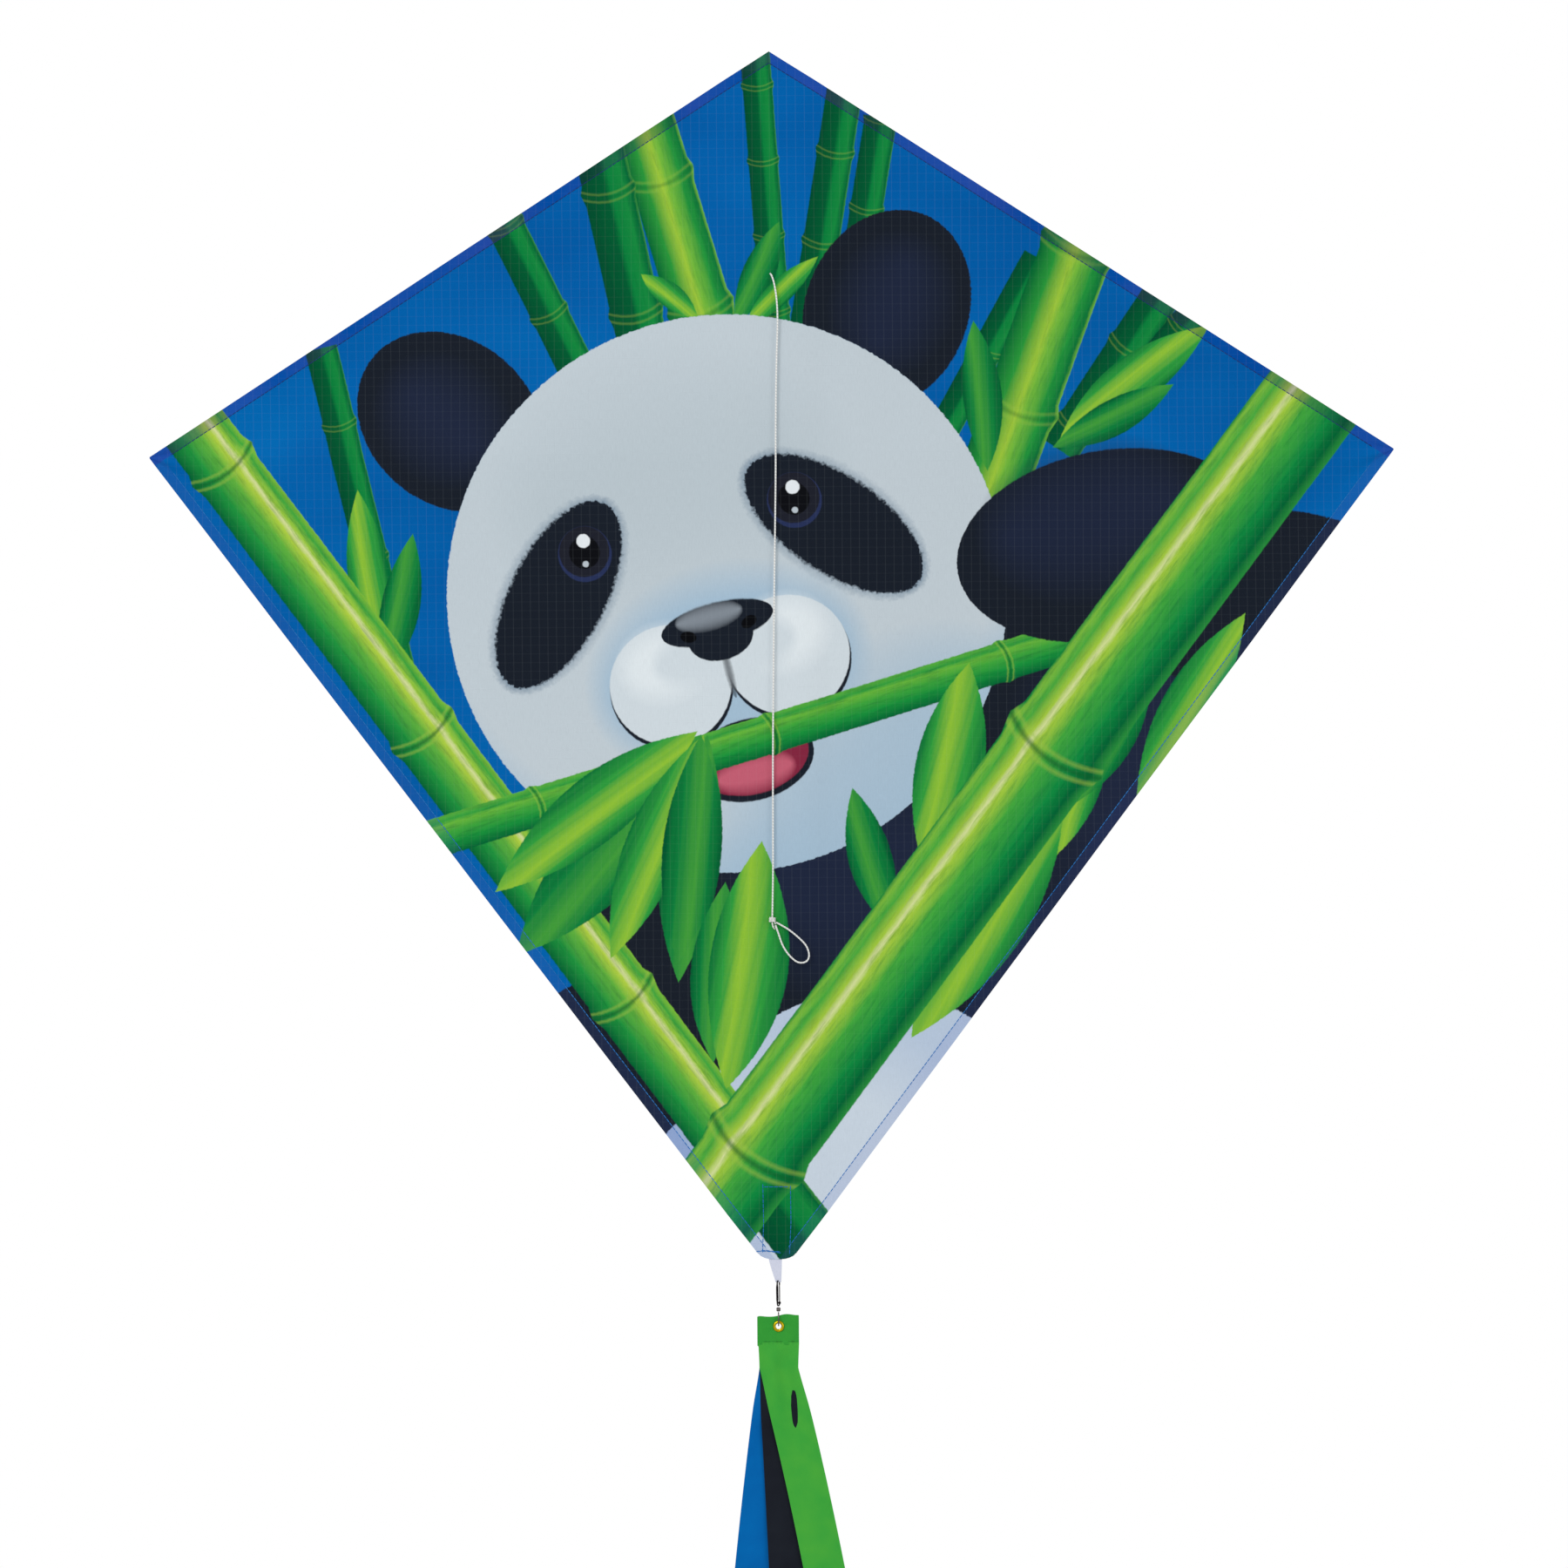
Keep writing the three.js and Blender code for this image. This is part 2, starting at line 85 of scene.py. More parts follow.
# HALF is the way along the cloth from the spine to a wing tip.
HALF = HINGE_X + (TIP_X - HINGE_X - (AXIS_Y - SAIL_Y) * math.sin(LEAN)) / math.cos(LEAN)
LOWER_CORNER_Z = -503.9  # where the two lower edges would meet
CUT_X = 11.6  # how far out the bottom corner is cut off
HEM = 6.4
CLOTH = 0.26
FOLD_START, FOLD_END = 9.0, 35.0  # the sail turns from the spine to the wing between these
SPINE_R = (box_mm("spine_rod")[1][0] - box_mm("spine_rod")[0][0]) / 2
SPAR_R = 1.75
PATCH_R = 11.0
UPPER_HOLE_Z = box_mm("upper_bridle_patch")[0][2] + PATCH_R
LOWER_HOLE_Z = box_mm("lower_bridle_patch")[0][2] + PATCH_R
KNOT = joint_mm("tow_loop_swing")
EYELET = joint_mm("tail_head_swing")
HEAD_LOW, HEAD_HIGH = box_mm("tail_head")
STREAMER_HINGE_Z = joint_mm("green_tail_fan")[2]
STREAMER_END_Z = box_mm("green_tail")[0][2]
STREAMER_WIDTH = 25.4
STREAMER_LENGTH = 1016.0
STRING_D = 1.1

# ---- Camera: level, square on, and from far enough away that the kite looks flat ----

VIEW_WIDTH = 0.957
VIEW_CENTRE = (0.0062, -0.2024)
VIEW_ROLL = math.radians(0.4)
LENS = 400.0
SENSOR = 36.0


def make_camera():
    camera = bpy.data.objects.new("camera", bpy.data.cameras.new("camera"))
    bpy.context.collection.objects.link(camera)
    camera.data.lens = LENS
    camera.data.sensor_width = SENSOR
    camera.data.clip_start, camera.data.clip_end = 0.1, 60
    away = VIEW_WIDTH * LENS / SENSOR
    camera.location = (VIEW_CENTRE[0], -away, VIEW_CENTRE[1])
    camera.rotation_euler = (math.radians(90), VIEW_ROLL, 0)
    bpy.context.scene.camera = camera


make_camera()

# ---- Node graphs written as arithmetic ----


def srgb(red, green, blue):
    """A colour in 0 to 255 steps, as linear light."""
    parts = [value / 255 for value in (red, green, blue)]
    linear = [p / 12.92 if p <= 0.04045 else ((p + 0.055) / 1.055) ** 2.4 for p in parts]
    return (*linear, 1.0)


class Value:
    """A socket of a node graph, with arithmetic that adds nodes."""

    def __init__(self, graph, socket):
        self.graph, self.socket = graph, socket

    def __add__(self, other):
        return self.graph.math("ADD", self, other)

    def __sub__(self, other):
        return self.graph.math("SUBTRACT", self, other)

    def __rsub__(self, other):
        return self.graph.math("SUBTRACT", other, self)

    def __mul__(self, other):
        return self.graph.math("MULTIPLY", self, other)

    def __truediv__(self, other):
        return self.graph.math("DIVIDE", self, other)

    def __abs__(self):
        return self.graph.math("ABSOLUTE", self)

    __radd__, __rmul__ = __add__, __mul__


class Graph:
    """A material's node tree, or a node group's."""

    def __init__(self, name, tree=None):
        if tree is None:
            self.material = bpy.data.materials.new(name)
            self.material.use_nodes = True
            tree = self.material.node_tree
            tree.nodes.clear()
        self.tree = tree

    def node(self, kind, settings=(), **inputs):
        node = self.tree.nodes.new(f"ShaderNode{kind}")
        for key, value in dict(settings).items():
            setattr(node, key, value)
        for key, value in inputs.items():
            self.feed(node.inputs[key.replace("_", " ")], value)
        return node

    def feed(self, socket, value):
        if isinstance(value, Value):
            self.tree.links.new(value.socket, socket)
        else:
            socket.default_value = value

    def math(self, operation, *values):
        node = self.node("Math", {"operation": operation})
        for socket, value in zip(node.inputs, values):
            self.feed(socket, value)
        return Value(self, node.outputs[0])

    def vector(self, operation, *values, output="Vector"):
        node = self.node("VectorMath", {"operation": operation})
        for socket, value in zip(node.inputs, values):
            self.feed(socket, value)
        return Value(self, node.outputs[output])

    def ramp01(self, value, gain=1.0, offset=0.0):
        """gain * value + offset, kept from 0 to 1."""
        node = self.node("Clamp", Value=self.math("MULTIPLY_ADD", value, gain, offset))
        return Value(self, node.outputs[0])

    def flat_metres(self):
        """The piece's own flat coordinates, in metres."""
        return Value(self, self.node("UVMap", {"uv_map": "flat"}).outputs[0])

    def flat_place(self):
        """The piece's own flat coordinates, in millimetres."""
        scaled = self.node("VectorMath", {"operation": "SCALE"}, Scale=1 / MM)
        self.feed(scaled.inputs[0], self.flat_metres())
        return Value(self, scaled.outputs[0])

    def object_place(self, scale=1 / MM):
        """The place in the object, scaled from metres."""
        node = self.node("TexCoord")
        scaled = self.node("VectorMath", {"operation": "SCALE"}, Scale=scale)
        self.feed(scaled.inputs[0], Value(self, node.outputs["Object"]))
        return Value(self, scaled.outputs[0])

    def local(self, place, x=0.0, y=0.0, angle=0.0, sx=1.0, sy=1.0):
        """place as seen from a shape at x, y that is turned and scaled."""
        settings = {"vector_type": "TEXTURE"}
        sizes = {"Location": (x, y, 0), "Rotation": (0, 0, angle), "Scale": (sx, sy, 1)}
        return Value(self, self.node("Mapping", settings, Vector=place, **sizes).outputs[0])

    def along(self, vector, x, y):
        """The part of a vector in the direction x, y."""
        return self.vector("DOT_PRODUCT", vector, (x, y, 0.0), output="Value")

    def split(self, vector):
        return self.along(vector, 1.0, 0.0), self.along(vector, 0.0, 1.0)

    def shifted(self, place, wander, size):
        """place moved about by a noise from 0 to 1, by up to half of size each way."""
        moved = self.vector("MULTIPLY_ADD", wander, (size, size, 0.0), place)
        return self.vector("ADD", moved, (-size / 2, -size / 2, 0.0))

    def noise(self, place, scale, detail=2.0, roughness=0.5):
        node = self.node("TexNoise", Vector=place, Scale=scale, Detail=detail, Roughness=roughness)
        return Value(self, node.outputs["Fac"])

    def mix(self, share, first, second, blend="MIX"):
        node = self.node("Mix", {"data_type": "RGBA", "blend_type": blend})
        self.feed(node.inputs["Factor"], share)
        self.feed([s for s in node.inputs if s.name == "A" and s.type == "RGBA"][0], first)
        self.feed([s for s in node.inputs if s.name == "B" and s.type == "RGBA"][0], second)
        return Value(self, [s for s in node.outputs if s.type == "RGBA"][0])

    def colours(self, value, stops):
        """A colour ramp with stops of (place, colour)."""
        node = self.node("ValToRGB", Fac=value)
        elements = node.color_ramp.elements
        while len(elements) < len(stops):
            elements.new(0.5)
        for element, (place, colour) in zip(elements, stops):
            element.position, element.color = place, colour
        return Value(self, node.outputs["Color"])

    def finish(self, base, roughness, height=None, bump=0.3, distance=0.0002, **sockets):
        """The shader and output. sockets are constants set on the shader itself."""
        shader = self.node("BsdfPrincipled")
        self.feed(shader.inputs["Base Color"], base)
        self.feed(shader.inputs["Roughness"], roughness)
        for key, value in sockets.items():
            shader.inputs[key.replace("_", " ")].default_value = value
        if height is not None:
            bumped = self.node("Bump", Height=height, Strength=bump, Distance=distance)
            self.tree.links.new(bumped.outputs[0], shader.inputs["Normal"])
        out = self.node("OutputMaterial")
        self.tree.links.new(shader.outputs[0], out.inputs[0])
        return self.material


# ---- The print ----

EDGE = 0.7  # how softly a printed edge turns, in millimetres
HEM_EDGE = 0.5  # how softly the painted shade of the hem begins
RIPSTOP_PITCH = 5.3
RIPSTOP_THREAD = 0.35
NIGHT = srgb(24, 30, 40)
NIGHT_BLUE = srgb(30, 38, 60)
PALE = srgb(188, 199, 206)
SHADE = srgb(158, 184, 204)
CANE_STREAK = srgb(0, 96, 46)
CANE_RING = srgb(12, 92, 40)
CANE_LIP = srgb(150, 186, 70)


def colour_stops(*rows):
    """Colour stops from rows of place, red, green and blue."""
    return [(place, srgb(*colour)) for place, *colour in rows]


def leaf_stops(dark, middle, light):
    """Colour stops across a leaf, which is darkest at its edges."""
    return [(0.0, dark), (0.3, middle), (0.6, light), (0.8, middle), (1.0, dark)]


SKY = colour_stops((0.3, 0, 85, 157), (0.55, 0, 94, 167), (0.72, 0, 102, 174))
BRIGHT_LEAF = leaf_stops(srgb(0, 104, 52), srgb(46, 152, 60), srgb(140, 188, 54))
DEEP_LEAF = leaf_stops(srgb(0, 84, 46), srgb(14, 124, 58), srgb(64, 152, 56))
BACK_CANE = colour_stops(
    (0.0, 0, 72, 44),
    (0.45, 0, 88, 48),
    (0.56, 8, 124, 58),
    (0.8, 20, 132, 60),
    (0.95, 0, 98, 52),
    (1.0, 60, 140, 60),
)
MID_CANE = colour_stops(
    (0.0, 0, 96, 48),
    (0.25, 40, 146, 56),
    (0.48, 152, 192, 58),
    (0.58, 112, 178, 58),
    (0.8, 34, 144, 58),
    (0.95, 10, 112, 54),
    (1.0, 110, 176, 60),
)
LEFT_CANE = colour_stops(
    (0.0, 0, 92, 48),
    (0.25, 30, 144, 60),
    (0.5, 94, 172, 60),
    (0.66, 172, 202, 66),
    (0.72, 206, 214, 150),
    (0.78, 150, 194, 62),
    (0.9, 60, 160, 60),
    (1.0, 126, 184, 56),
)
STALK = colour_stops(
    (0.0, 0, 96, 50),
    (0.3, 24, 142, 58),
    (0.55, 60, 160, 58),
    (0.75, 100, 176, 58),
    (0.85, 50, 154, 60),
    (1.0, 90, 172, 60),
)
RIGHT_CANE = colour_stops(
    (0.0, 20, 130, 56),
    (0.04, 120, 180, 60),
    (0.13, 70, 164, 60),
    (0.24, 160, 196, 62),
    (0.29, 206, 216, 150),
    (0.34, 158, 196, 62),
    (0.5, 66, 164, 60),
    (0.74, 14, 134, 62),
    (0.9, 0, 96, 50),
    (1.0, 40, 138, 58),
)
HEAD = (-28, -86, 14)  # the middle of the head and its tilt, in degrees


class Print:
    """Builds the printed design, shape over shape, on flat coordinates in millimetres."""

    def __init__(self, graph, place, colour):
        self.graph, self.place, self.colour = graph, place, colour
        self.x = self.z = self.angle = 0.0
        self.flat = graph.flat_metres()

    def ground(self):
        """Slightly uneven blue all over."""
        clouds = self.grain(0, 0, 0, 130.0, 90.0, 2.0, 0.5)
        self.colour = self.graph.colours(clouds, SKY)

    def over(self, cover, colour):
        self.colour = self.graph.mix(cover, self.colour, colour)

    def move_to(self, x, z, angle):
        """Draws what follows as seen from x, z, turned by an angle."""
        self.x, self.z, self.angle = x, z, math.radians(angle)

    def own(self, x, z, angle=0.0):
        """A shape's x, z and angle on the sail."""
        sine, cosine = math.sin(self.angle), math.cos(self.angle)
        turned = self.angle + math.radians(angle)
        return self.x + x * cosine - z * sine, self.z + x * sine + z * cosine, turned

    def axes(self, x, z, angle, sx=1.0, sz=1.0):
        """The place as seen from a shape: how far along it and how far across it."""
        x, z, angle = self.own(x, z, angle)
        sine, cosine = math.sin(angle), math.cos(angle)
        g = self.graph
        along = g.along(self.place, cosine / sx, sine / sx) - (x * cosine + z * sine) / sx
        across = g.along(self.place, -sine / sz, cosine / sz) - (z * cosine - x * sine) / sz
        return along, across

    def grain(self, x, z, angle, sx, sz, detail, roughness):
        """A noise that is stretched along a shape."""
        x, z, angle = self.own(x, z, angle)
        g = self.graph
        near = g.local(self.flat, x * MM, z * MM, angle, sx * MM, sz * MM)
        return g.noise(near, 1.0, detail, roughness)

    def disc(self, x, z, rx, rz, colour, angle=0.0, soft=EDGE, within=None):
        """An ellipse, drawn from its two foci. Its edge is as wide as soft. Gives its cover."""
        g = self.graph
        x, z, angle = self.own(x, z, angle + (0 if rx >= rz else 90))
        long, short = max(rx, rz), min(rx, rz)
        reach = math.sqrt(long * long - short * short)
        total = 0.0
        for side in (-1, 1):
            focus = (x + side * reach * math.cos(angle), z + side * reach * math.sin(angle), 0.0)
            total = g.vector("DISTANCE", self.place, focus, output="Value") + total
        slope = 1 / (soft * (1 + short / long))
        cover = g.ramp01(total, -slope, 2 * long * slope + 0.5)
        if within is not None:
            cover = cover * within
        self.over(cover, colour)
        return cover

    def cane(self, start, end, width, stops, segment, phase, limit=True, streaks=0.3, ring=0.65):
        """A straight bamboo cane. stops colour it across, and its joints are segment apart.

        It widens at each joint, which has a dark ring between two pale lips. With limit, it ends at
        its two places, and without, it runs on past them.
        """
        g = self.graph
        angle = math.degrees(math.atan2(end[1] - start[1], end[0] - start[0]))
        length = math.dist(start, end)
        grain = self.grain(*start, angle, 20.0, 2.5, 4.0, 0.65)
        u, v = self.axes(*start, angle)
        bowed = v * v * (0.5 / width) + u  # the rings at the joints are curved
        turn = g.math("FRACT", bowed / segment + phase)
        off_joint = abs(turn - 0.5) * segment
        flare = g.ramp01(off_joint, -1 / (0.2 * width), 1.0)
        across = v / (flare * (0.06 * width) + width / 2)
        cover = g.ramp01(abs(across), -width / 2 / EDGE, width / 2 / EDGE + 0.5)
        if limit:
            cover = cover * g.ramp01(u, -1 / EDGE, length / EDGE) * g.ramp01(u, 1 / EDGE, 0.5)
        body = g.colours((across + grain * 0.16) * 0.5 + 0.46, stops)
        body = g.mix(g.ramp01(grain, 3.2, -1.5) * streaks, body, CANE_STREAK)
        seam = g.ramp01(off_joint, -1 / (0.04 * width), 1.2)
        body = g.mix(seam * ring, body, CANE_RING)
        lip = g.ramp01(abs(off_joint - 0.075 * width), -1 / (0.035 * width), 1.1)
        body = g.mix(lip * (ring * 0.6), body, CANE_LIP)
        self.over(cover, body)

    def leaf(self, x, z, angle, length, width, bend=0.0, stops=BRIGHT_LEAF):
        """A pointed leaf that starts at x, z and curves by bend half-widths at its tip."""
        g = self.graph
        grain = self.grain(x, z, angle, length / 0.8, width / 10, 2.0, 0.5)
        u, v = self.axes(x, z, angle, length, width / 2)
        swept = v - u * u * bend
        room = g.math("MULTIPLY", u * (1.0 - u), 4.0) - abs(swept)
        cover = g.ramp01(room, width / 2 / EDGE, 0.5)
        self.over(cover, g.colours(swept * 0.5 + grain * 0.24 + 0.38, stops))


def paint_back_canes(design):
    """The blue ground, and canes behind the face that spread like a fan."""
    design.ground()
    canes = [
        ((-9.7, 262), (4.4, 60), 18, BACK_CANE, 46, 0.62),
        ((46, 222), (20, 60), 22, BACK_CANE, 56, 0.75),
        ((68, 204), (44, 60), 20, BACK_CANE, 56, 0.45),
        ((-78, 208), (-34, 60), 38, MID_CANE, 84, 0.95),
        ((-104, 186), (-72, 40), 31, BACK_CANE, 76, 0.1),
        ((-166, 148), (-108, 30), 23, BACK_CANE, 60, 0.3),
        ((-276, 66), (-230, -130), 20, BACK_CANE, 84, 0.9),
        ((164, 118), (98, 0), 19, BACK_CANE, 70, 0.55),
        ((246, 104), (176, 0), 24, BACK_CANE, 58, 0.6),
        ((262, 86), (206, 20), 20, BACK_CANE, 58, 0.2),
        ((192, 134), (120, -60), 44, MID_CANE, 104, 0.35),
    ]
    for start, end, width, stops, segment, phase in canes:
        design.cane(start, end, width, stops, segment, phase, ring=0.34)
    design.leaf(-22, 78, 62, 68, 20, 0.5, DEEP_LEAF)
    design.leaf(-16, 76, 46, 62, 15, -0.3)
    design.leaf(-44, 82, 138, 44, 15, 0.4)
    design.leaf(-238, -128, 102, 108, 26, -0.5)
    design.leaf(-240, -138, 74, 92, 24, 0.5, DEEP_LEAF)
    design.leaf(132, -12, 92, 92, 24, 0.4, DEEP_LEAF)
    design.leaf(176, 6, 40, 116, 30, -0.4)
    design.leaf(172, 2, 24, 84, 22, 0.4, DEEP_LEAF)


def paint_animal(design):
    """A plain bear's head, tilted a little, over a dark body."""
    design.disc(52, -292, 176, 104, NIGHT)
    design.disc(200, -196, 132, 136, NIGHT)
    design.disc(-104, -384, 56, 64, NIGHT)
    design.disc(70, -262, 90, 60, NIGHT_BLUE, soft=46)
    design.disc(226, -190, 60, 90, NIGHT_BLUE, soft=50)
    design.disc(58, -426, 106, 98, srgb(178, 194, 214))
    design.disc(40, -440, 70, 70, srgb(196, 208, 220), soft=50)
    design.disc(-40, -436, 34, 34, srgb(150, 172, 206))
    design.disc(300, -92, 96, 56, NIGHT)
    design.move_to(*HEAD)
    for side in (-1, 1):
        design.disc(side * 138, 144, 50, 62, NIGHT, angle=-side * 36)
        design.disc(side * 142, 146, 26, 36, NIGHT_BLUE, angle=-side * 36, soft=26)
    face = design.disc(0, 0, 172, 170, SHADE)
    design.disc(-2, 16, 188, 172, PALE, soft=36, within=face)
    design.disc(-18, 74, 96, 58, srgb(180, 192, 199), soft=52)
    design.disc(58, -128, 104, 44, SHADE, angle=24, soft=46, within=face)


def paint_patches(design):
    """The dark patches round the eyes."""
    design.move_to(*HEAD)
    for side in (-1, 1):
        design.disc(side * 87 - 13, 25, 31, 65, srgb(128, 146, 162), angle=side * 42, soft=6)
        design.disc(side * 87 - 13, 25, 29.5, 62.5, NIGHT, angle=side * 42, soft=1.4)


def paint_features(design):
    """The eyes, nose, muzzle and mouth."""
    design.move_to(*HEAD)
    for side in (-1, 1):
        x = side * 66 - 12
        design.disc(x, 45, 16.5, 17, srgb(38, 48, 84))
        design.disc(x, 46.5, 15.5, 15.5, srgb(30, 32, 42))
        design.disc(x, 46, 9.5, 10, srgb(12, 13, 17))
        design.disc(x + 1, 53, 4.2, 4.2, srgb(222, 228, 232))
        design.disc(x - 1, 39, 1.9, 1.9, srgb(178, 188, 196))
    design.disc(-10, -46, 82, 56, SHADE, soft=20)
    design.disc(-10, -102, 38, 25, NIGHT)
    design.disc(-10, -101, 35, 22, srgb(128, 38, 62))
    design.disc(-10, -110, 24, 10, srgb(190, 92, 112), soft=5)
    for side in (-1, 1):
        design.disc(side * 37 - 10, -48, 38, 37, NIGHT)
        design.disc(side * 37 - 10, -45.5, 37.5, 36.5, srgb(202, 212, 218))
        design.disc(side * 37 - 10, -32, 26, 20, srgb(218, 226, 230), soft=14)
    design.disc(-10, -34, 44, 20, srgb(202, 212, 218), soft=9)
    design.disc(-10, -46, 1.6, 17, NIGHT)
    design.disc(-10, -16, 35, 12.5, NIGHT)
    design.disc(-10, -25, 20, 14, NIGHT)
    design.disc(-14, -11, 20, 4.6, srgb(150, 160, 170), soft=5)
    for side in (-1, 1):
        design.disc(side * 19 - 10, -20, 5, 3.4, srgb(8, 9, 12), angle=side * 24)


def paint_leaves(design):
    """The left cane, the stalk across the face, its leaves, and the arm above it."""
    design.cane((-40, -403), (30, -496), 41, BACK_CANE, 304, 0.7)
    design.cane((-356, 20), (-34, -411), 41, LEFT_CANE, 204, 0.318, streaks=0.5)
    design.cane((-240, -244), (222, -104), 24, STALK, 150, 0.82, streaks=0.6)
    design.disc(206, -58, 94, 58, NIGHT, angle=10)
    design.disc(196, -42, 62, 34, NIGHT_BLUE, angle=12, soft=30)
    leaves = [
        (-40, -172, -100, 152, 38, 0.4, DEEP_LEAF),
        (-44, -172, -128, 176, 50, -0.3, DEEP_LEAF),
        (-46, -170, -145, 158, 40, 0.4, BRIGHT_LEAF),
        (-42, -172, -116, 148, 36, 0.4, BRIGHT_LEAF),
        (-44, -172, -94, 140, 36, -0.3, DEEP_LEAF),
        (-38, -372, 89, 110, 32, -0.4, DEEP_LEAF),
        (-30, -388, 77, 152, 48, 0.5, BRIGHT_LEAF),
        (72, -292, 109, 90, 27, -0.4, DEEP_LEAF),
        (91, -254, 73, 128, 42, 0.4, BRIGHT_LEAF),
        (204, -148, -112, 106, 34, 0.4, BRIGHT_LEAF),
        (232, -132, -118, 100, 28, -0.4, DEEP_LEAF),
        (290, -100, -123, 132, 32, 0.3, BRIGHT_LEAF),
        (178, -200, -118, 184, 50, -0.4, BRIGHT_LEAF),
        (150, -190, -126, 160, 38, 0.4, DEEP_LEAF),
    ]
    for leaf in leaves:
        design.leaf(*leaf)


def paint_front_cane(design):
    """The big cane in front of everything."""
    design.cane((342, 44), (-28, -446), 62, RIGHT_CANE, 306, 0.552, limit=False, streaks=0.4)


LAYERS = [  # each with how far its edges fray, in millimetres
    (paint_back_canes, 0.6),
    (paint_animal, 1.4),
    (paint_patches, 4.0),
    (paint_features, 0.6),
    (paint_leaves, 1.0),
    (paint_front_cane, 0.6),
]


def print_layer(name, paint):
    """A node group that paints shapes over a colour."""
    tree = bpy.data.node_groups.new(name, "ShaderNodeTree")
    tree.interface.new_socket("Place", in_out="INPUT", socket_type="NodeSocketVector")
    tree.interface.new_socket("Colour", in_out="INPUT", socket_type="NodeSocketColor")
    tree.interface.new_socket("Colour", in_out="OUTPUT", socket_type="NodeSocketColor")
    g = Graph(name, tree)
    given = tree.nodes.new("NodeGroupInput")
    design = Print(g, Value(g, given.outputs[0]), Value(g, given.outputs[1]))
    paint(design)
    tree.links.new(design.colour.socket, tree.nodes.new("NodeGroupOutput").inputs[0])
    return tree


def edge_distance(g, place):
    """How far a flat place is inside the sail's upper and lower edges, in millimetres."""
    x, z = g.split(place)
    x = abs(x)
    upper = math.hypot(NOSE_Z, HALF)
    lower = math.hypot(LOWER_CORNER_Z, HALF)
    inside_upper = (NOSE_Z * HALF - x * NOSE_Z - z * HALF) / upper
    inside_lower = (x * LOWER_CORNER_Z + z * HALF - LOWER_CORNER_Z * HALF) / lower
    return inside_upper, inside_lower


def ripstop(g, place):
    """Raised threads at a regular spacing, as 0 to 1: those that run up, and those that run across."""
    slope = RIPSTOP_PITCH / RIPSTOP_THREAD
    lines = []
    for along in g.split(place):
        cell = abs(g.math("FRACT", along / RIPSTOP_PITCH) - 0.5)
        lines.append(g.ramp01(cell, slope, 1 - 0.5 * slope))
    return lines


def sail_cloth(name):
    """Printed ripstop cloth. Its node named fade sets how pale the print is."""
    g = Graph(name)
    place = g.flat_place()
    blur = g.node("TexNoise", Vector=g.flat_metres(), Scale=460.0, Detail=1.0)
    wander = Value(g, blur.outputs["Color"])
    colour = NIGHT
    for paint, fray in LAYERS:
        frayed = g.shifted(place, wander, fray)
        tree = print_layer(paint.__name__, paint)
        layer = g.node("Group", {"node_tree": tree}, Place=frayed, Colour=colour)
        colour = Value(g, layer.outputs[0])
    inside_edges = edge_distance(g, place)
    # Painted shade: the hem bands, where the cloth lies double and lets less light through, are darkened;
    # the upper one also gets purple blotches, the lower one a little blue.
    upper_hem_shade, lower_hem_shade = [g.ramp01(inside, -1 / HEM_EDGE, HEM / HEM_EDGE) for inside in inside_edges]
    blotch = g.ramp01(g.noise(g.flat_metres(), 26.0, 1.0), 2.6, -0.9)
    colour = g.mix(upper_hem_shade * 0.8, colour, (0.62, 0.58, 0.9, 1.0), "MULTIPLY")
    colour = g.mix(upper_hem_shade * blotch * 0.09, colour, srgb(120, 40, 190))
    colour = g.mix(lower_hem_shade * 0.4, colour, (0.7, 0.72, 0.9, 1.0), "MULTIPLY")
    colour = g.mix(lower_hem_shade * 0.06, colour, srgb(90, 120, 210))
    up_lines, cross_lines = ripstop(g, place)
    colour = g.mix(up_lines * 0.022, colour, srgb(214, 226, 232))
    colour = g.mix(cross_lines * 0.01, colour, srgb(214, 226, 232))
    weave = g.noise(g.vector("MULTIPLY", place, (1.0, 0.08, 1.0)), 2.4, 3.0, 0.7)
    colour = g.mix(g.ramp01(weave, 2.5, -1.0) * 0.08, colour, srgb(10, 20, 40))
    colour = g.mix(0.0, colour, srgb(150, 176, 196))
    g.tree.nodes[-1].name = "fade"
    height = up_lines + cross_lines * 0.7 + weave * 0.8
    rough = g.ramp01(weave, 0.2, 0.5)
    return g.finish(colour, rough, height, bump=0.22, Specular_IOR_Level=0.02)


# ---- Other materials ----


def plain_cloth(name, colour, thread, pitch=0.55, shine=0.04):
    """Woven cloth in one colour, with its threads, faint creases and uneven dye."""
    g = Graph(name)
    place = g.flat_place()
    x, z = g.split(place)
    warp = abs(g.math("FRACT", x / pitch) - 0.5)
    weft = abs(g.math("FRACT", z / pitch) - 0.5)
    dye = g.noise(place, 0.06, 3.0)
    creases = g.noise(g.vector("MULTIPLY", place, (1.0, 0.2, 1.0)), 0.35, 4.0, 0.6)
    base = g.mix(g.ramp01(dye, 1.6, -0.4), colour, thread)
    base = g.mix(g.ramp01(warp + weft, 0.5), base, thread)
    height = warp + weft + creases * 1.5
    return g.finish(base, g.ramp01(creases, 0.25, 0.48), height, bump=0.18, Specular_IOR_Level=shine)


def string_material(name, colour, shade):
    """Twisted string: its plies slant round it."""
    g = Graph(name)
    place = g.flat_place()
    along, around = g.split(place)
    ply = g.math("SINE", along * 3.4 + around * 6.28)
    fuzz = g.noise(place, 3.0, 3.0)
    # Painted shade: the string is darkened in the grooves between its plies.
    base = g.mix(g.ramp01(ply, 0.35, 0.3), colour, shade)
    return g.finish(base, g.ramp01(fuzz, 0.2, 0.7), ply + fuzz, bump=0.4, Specular_IOR_Level=0.3)


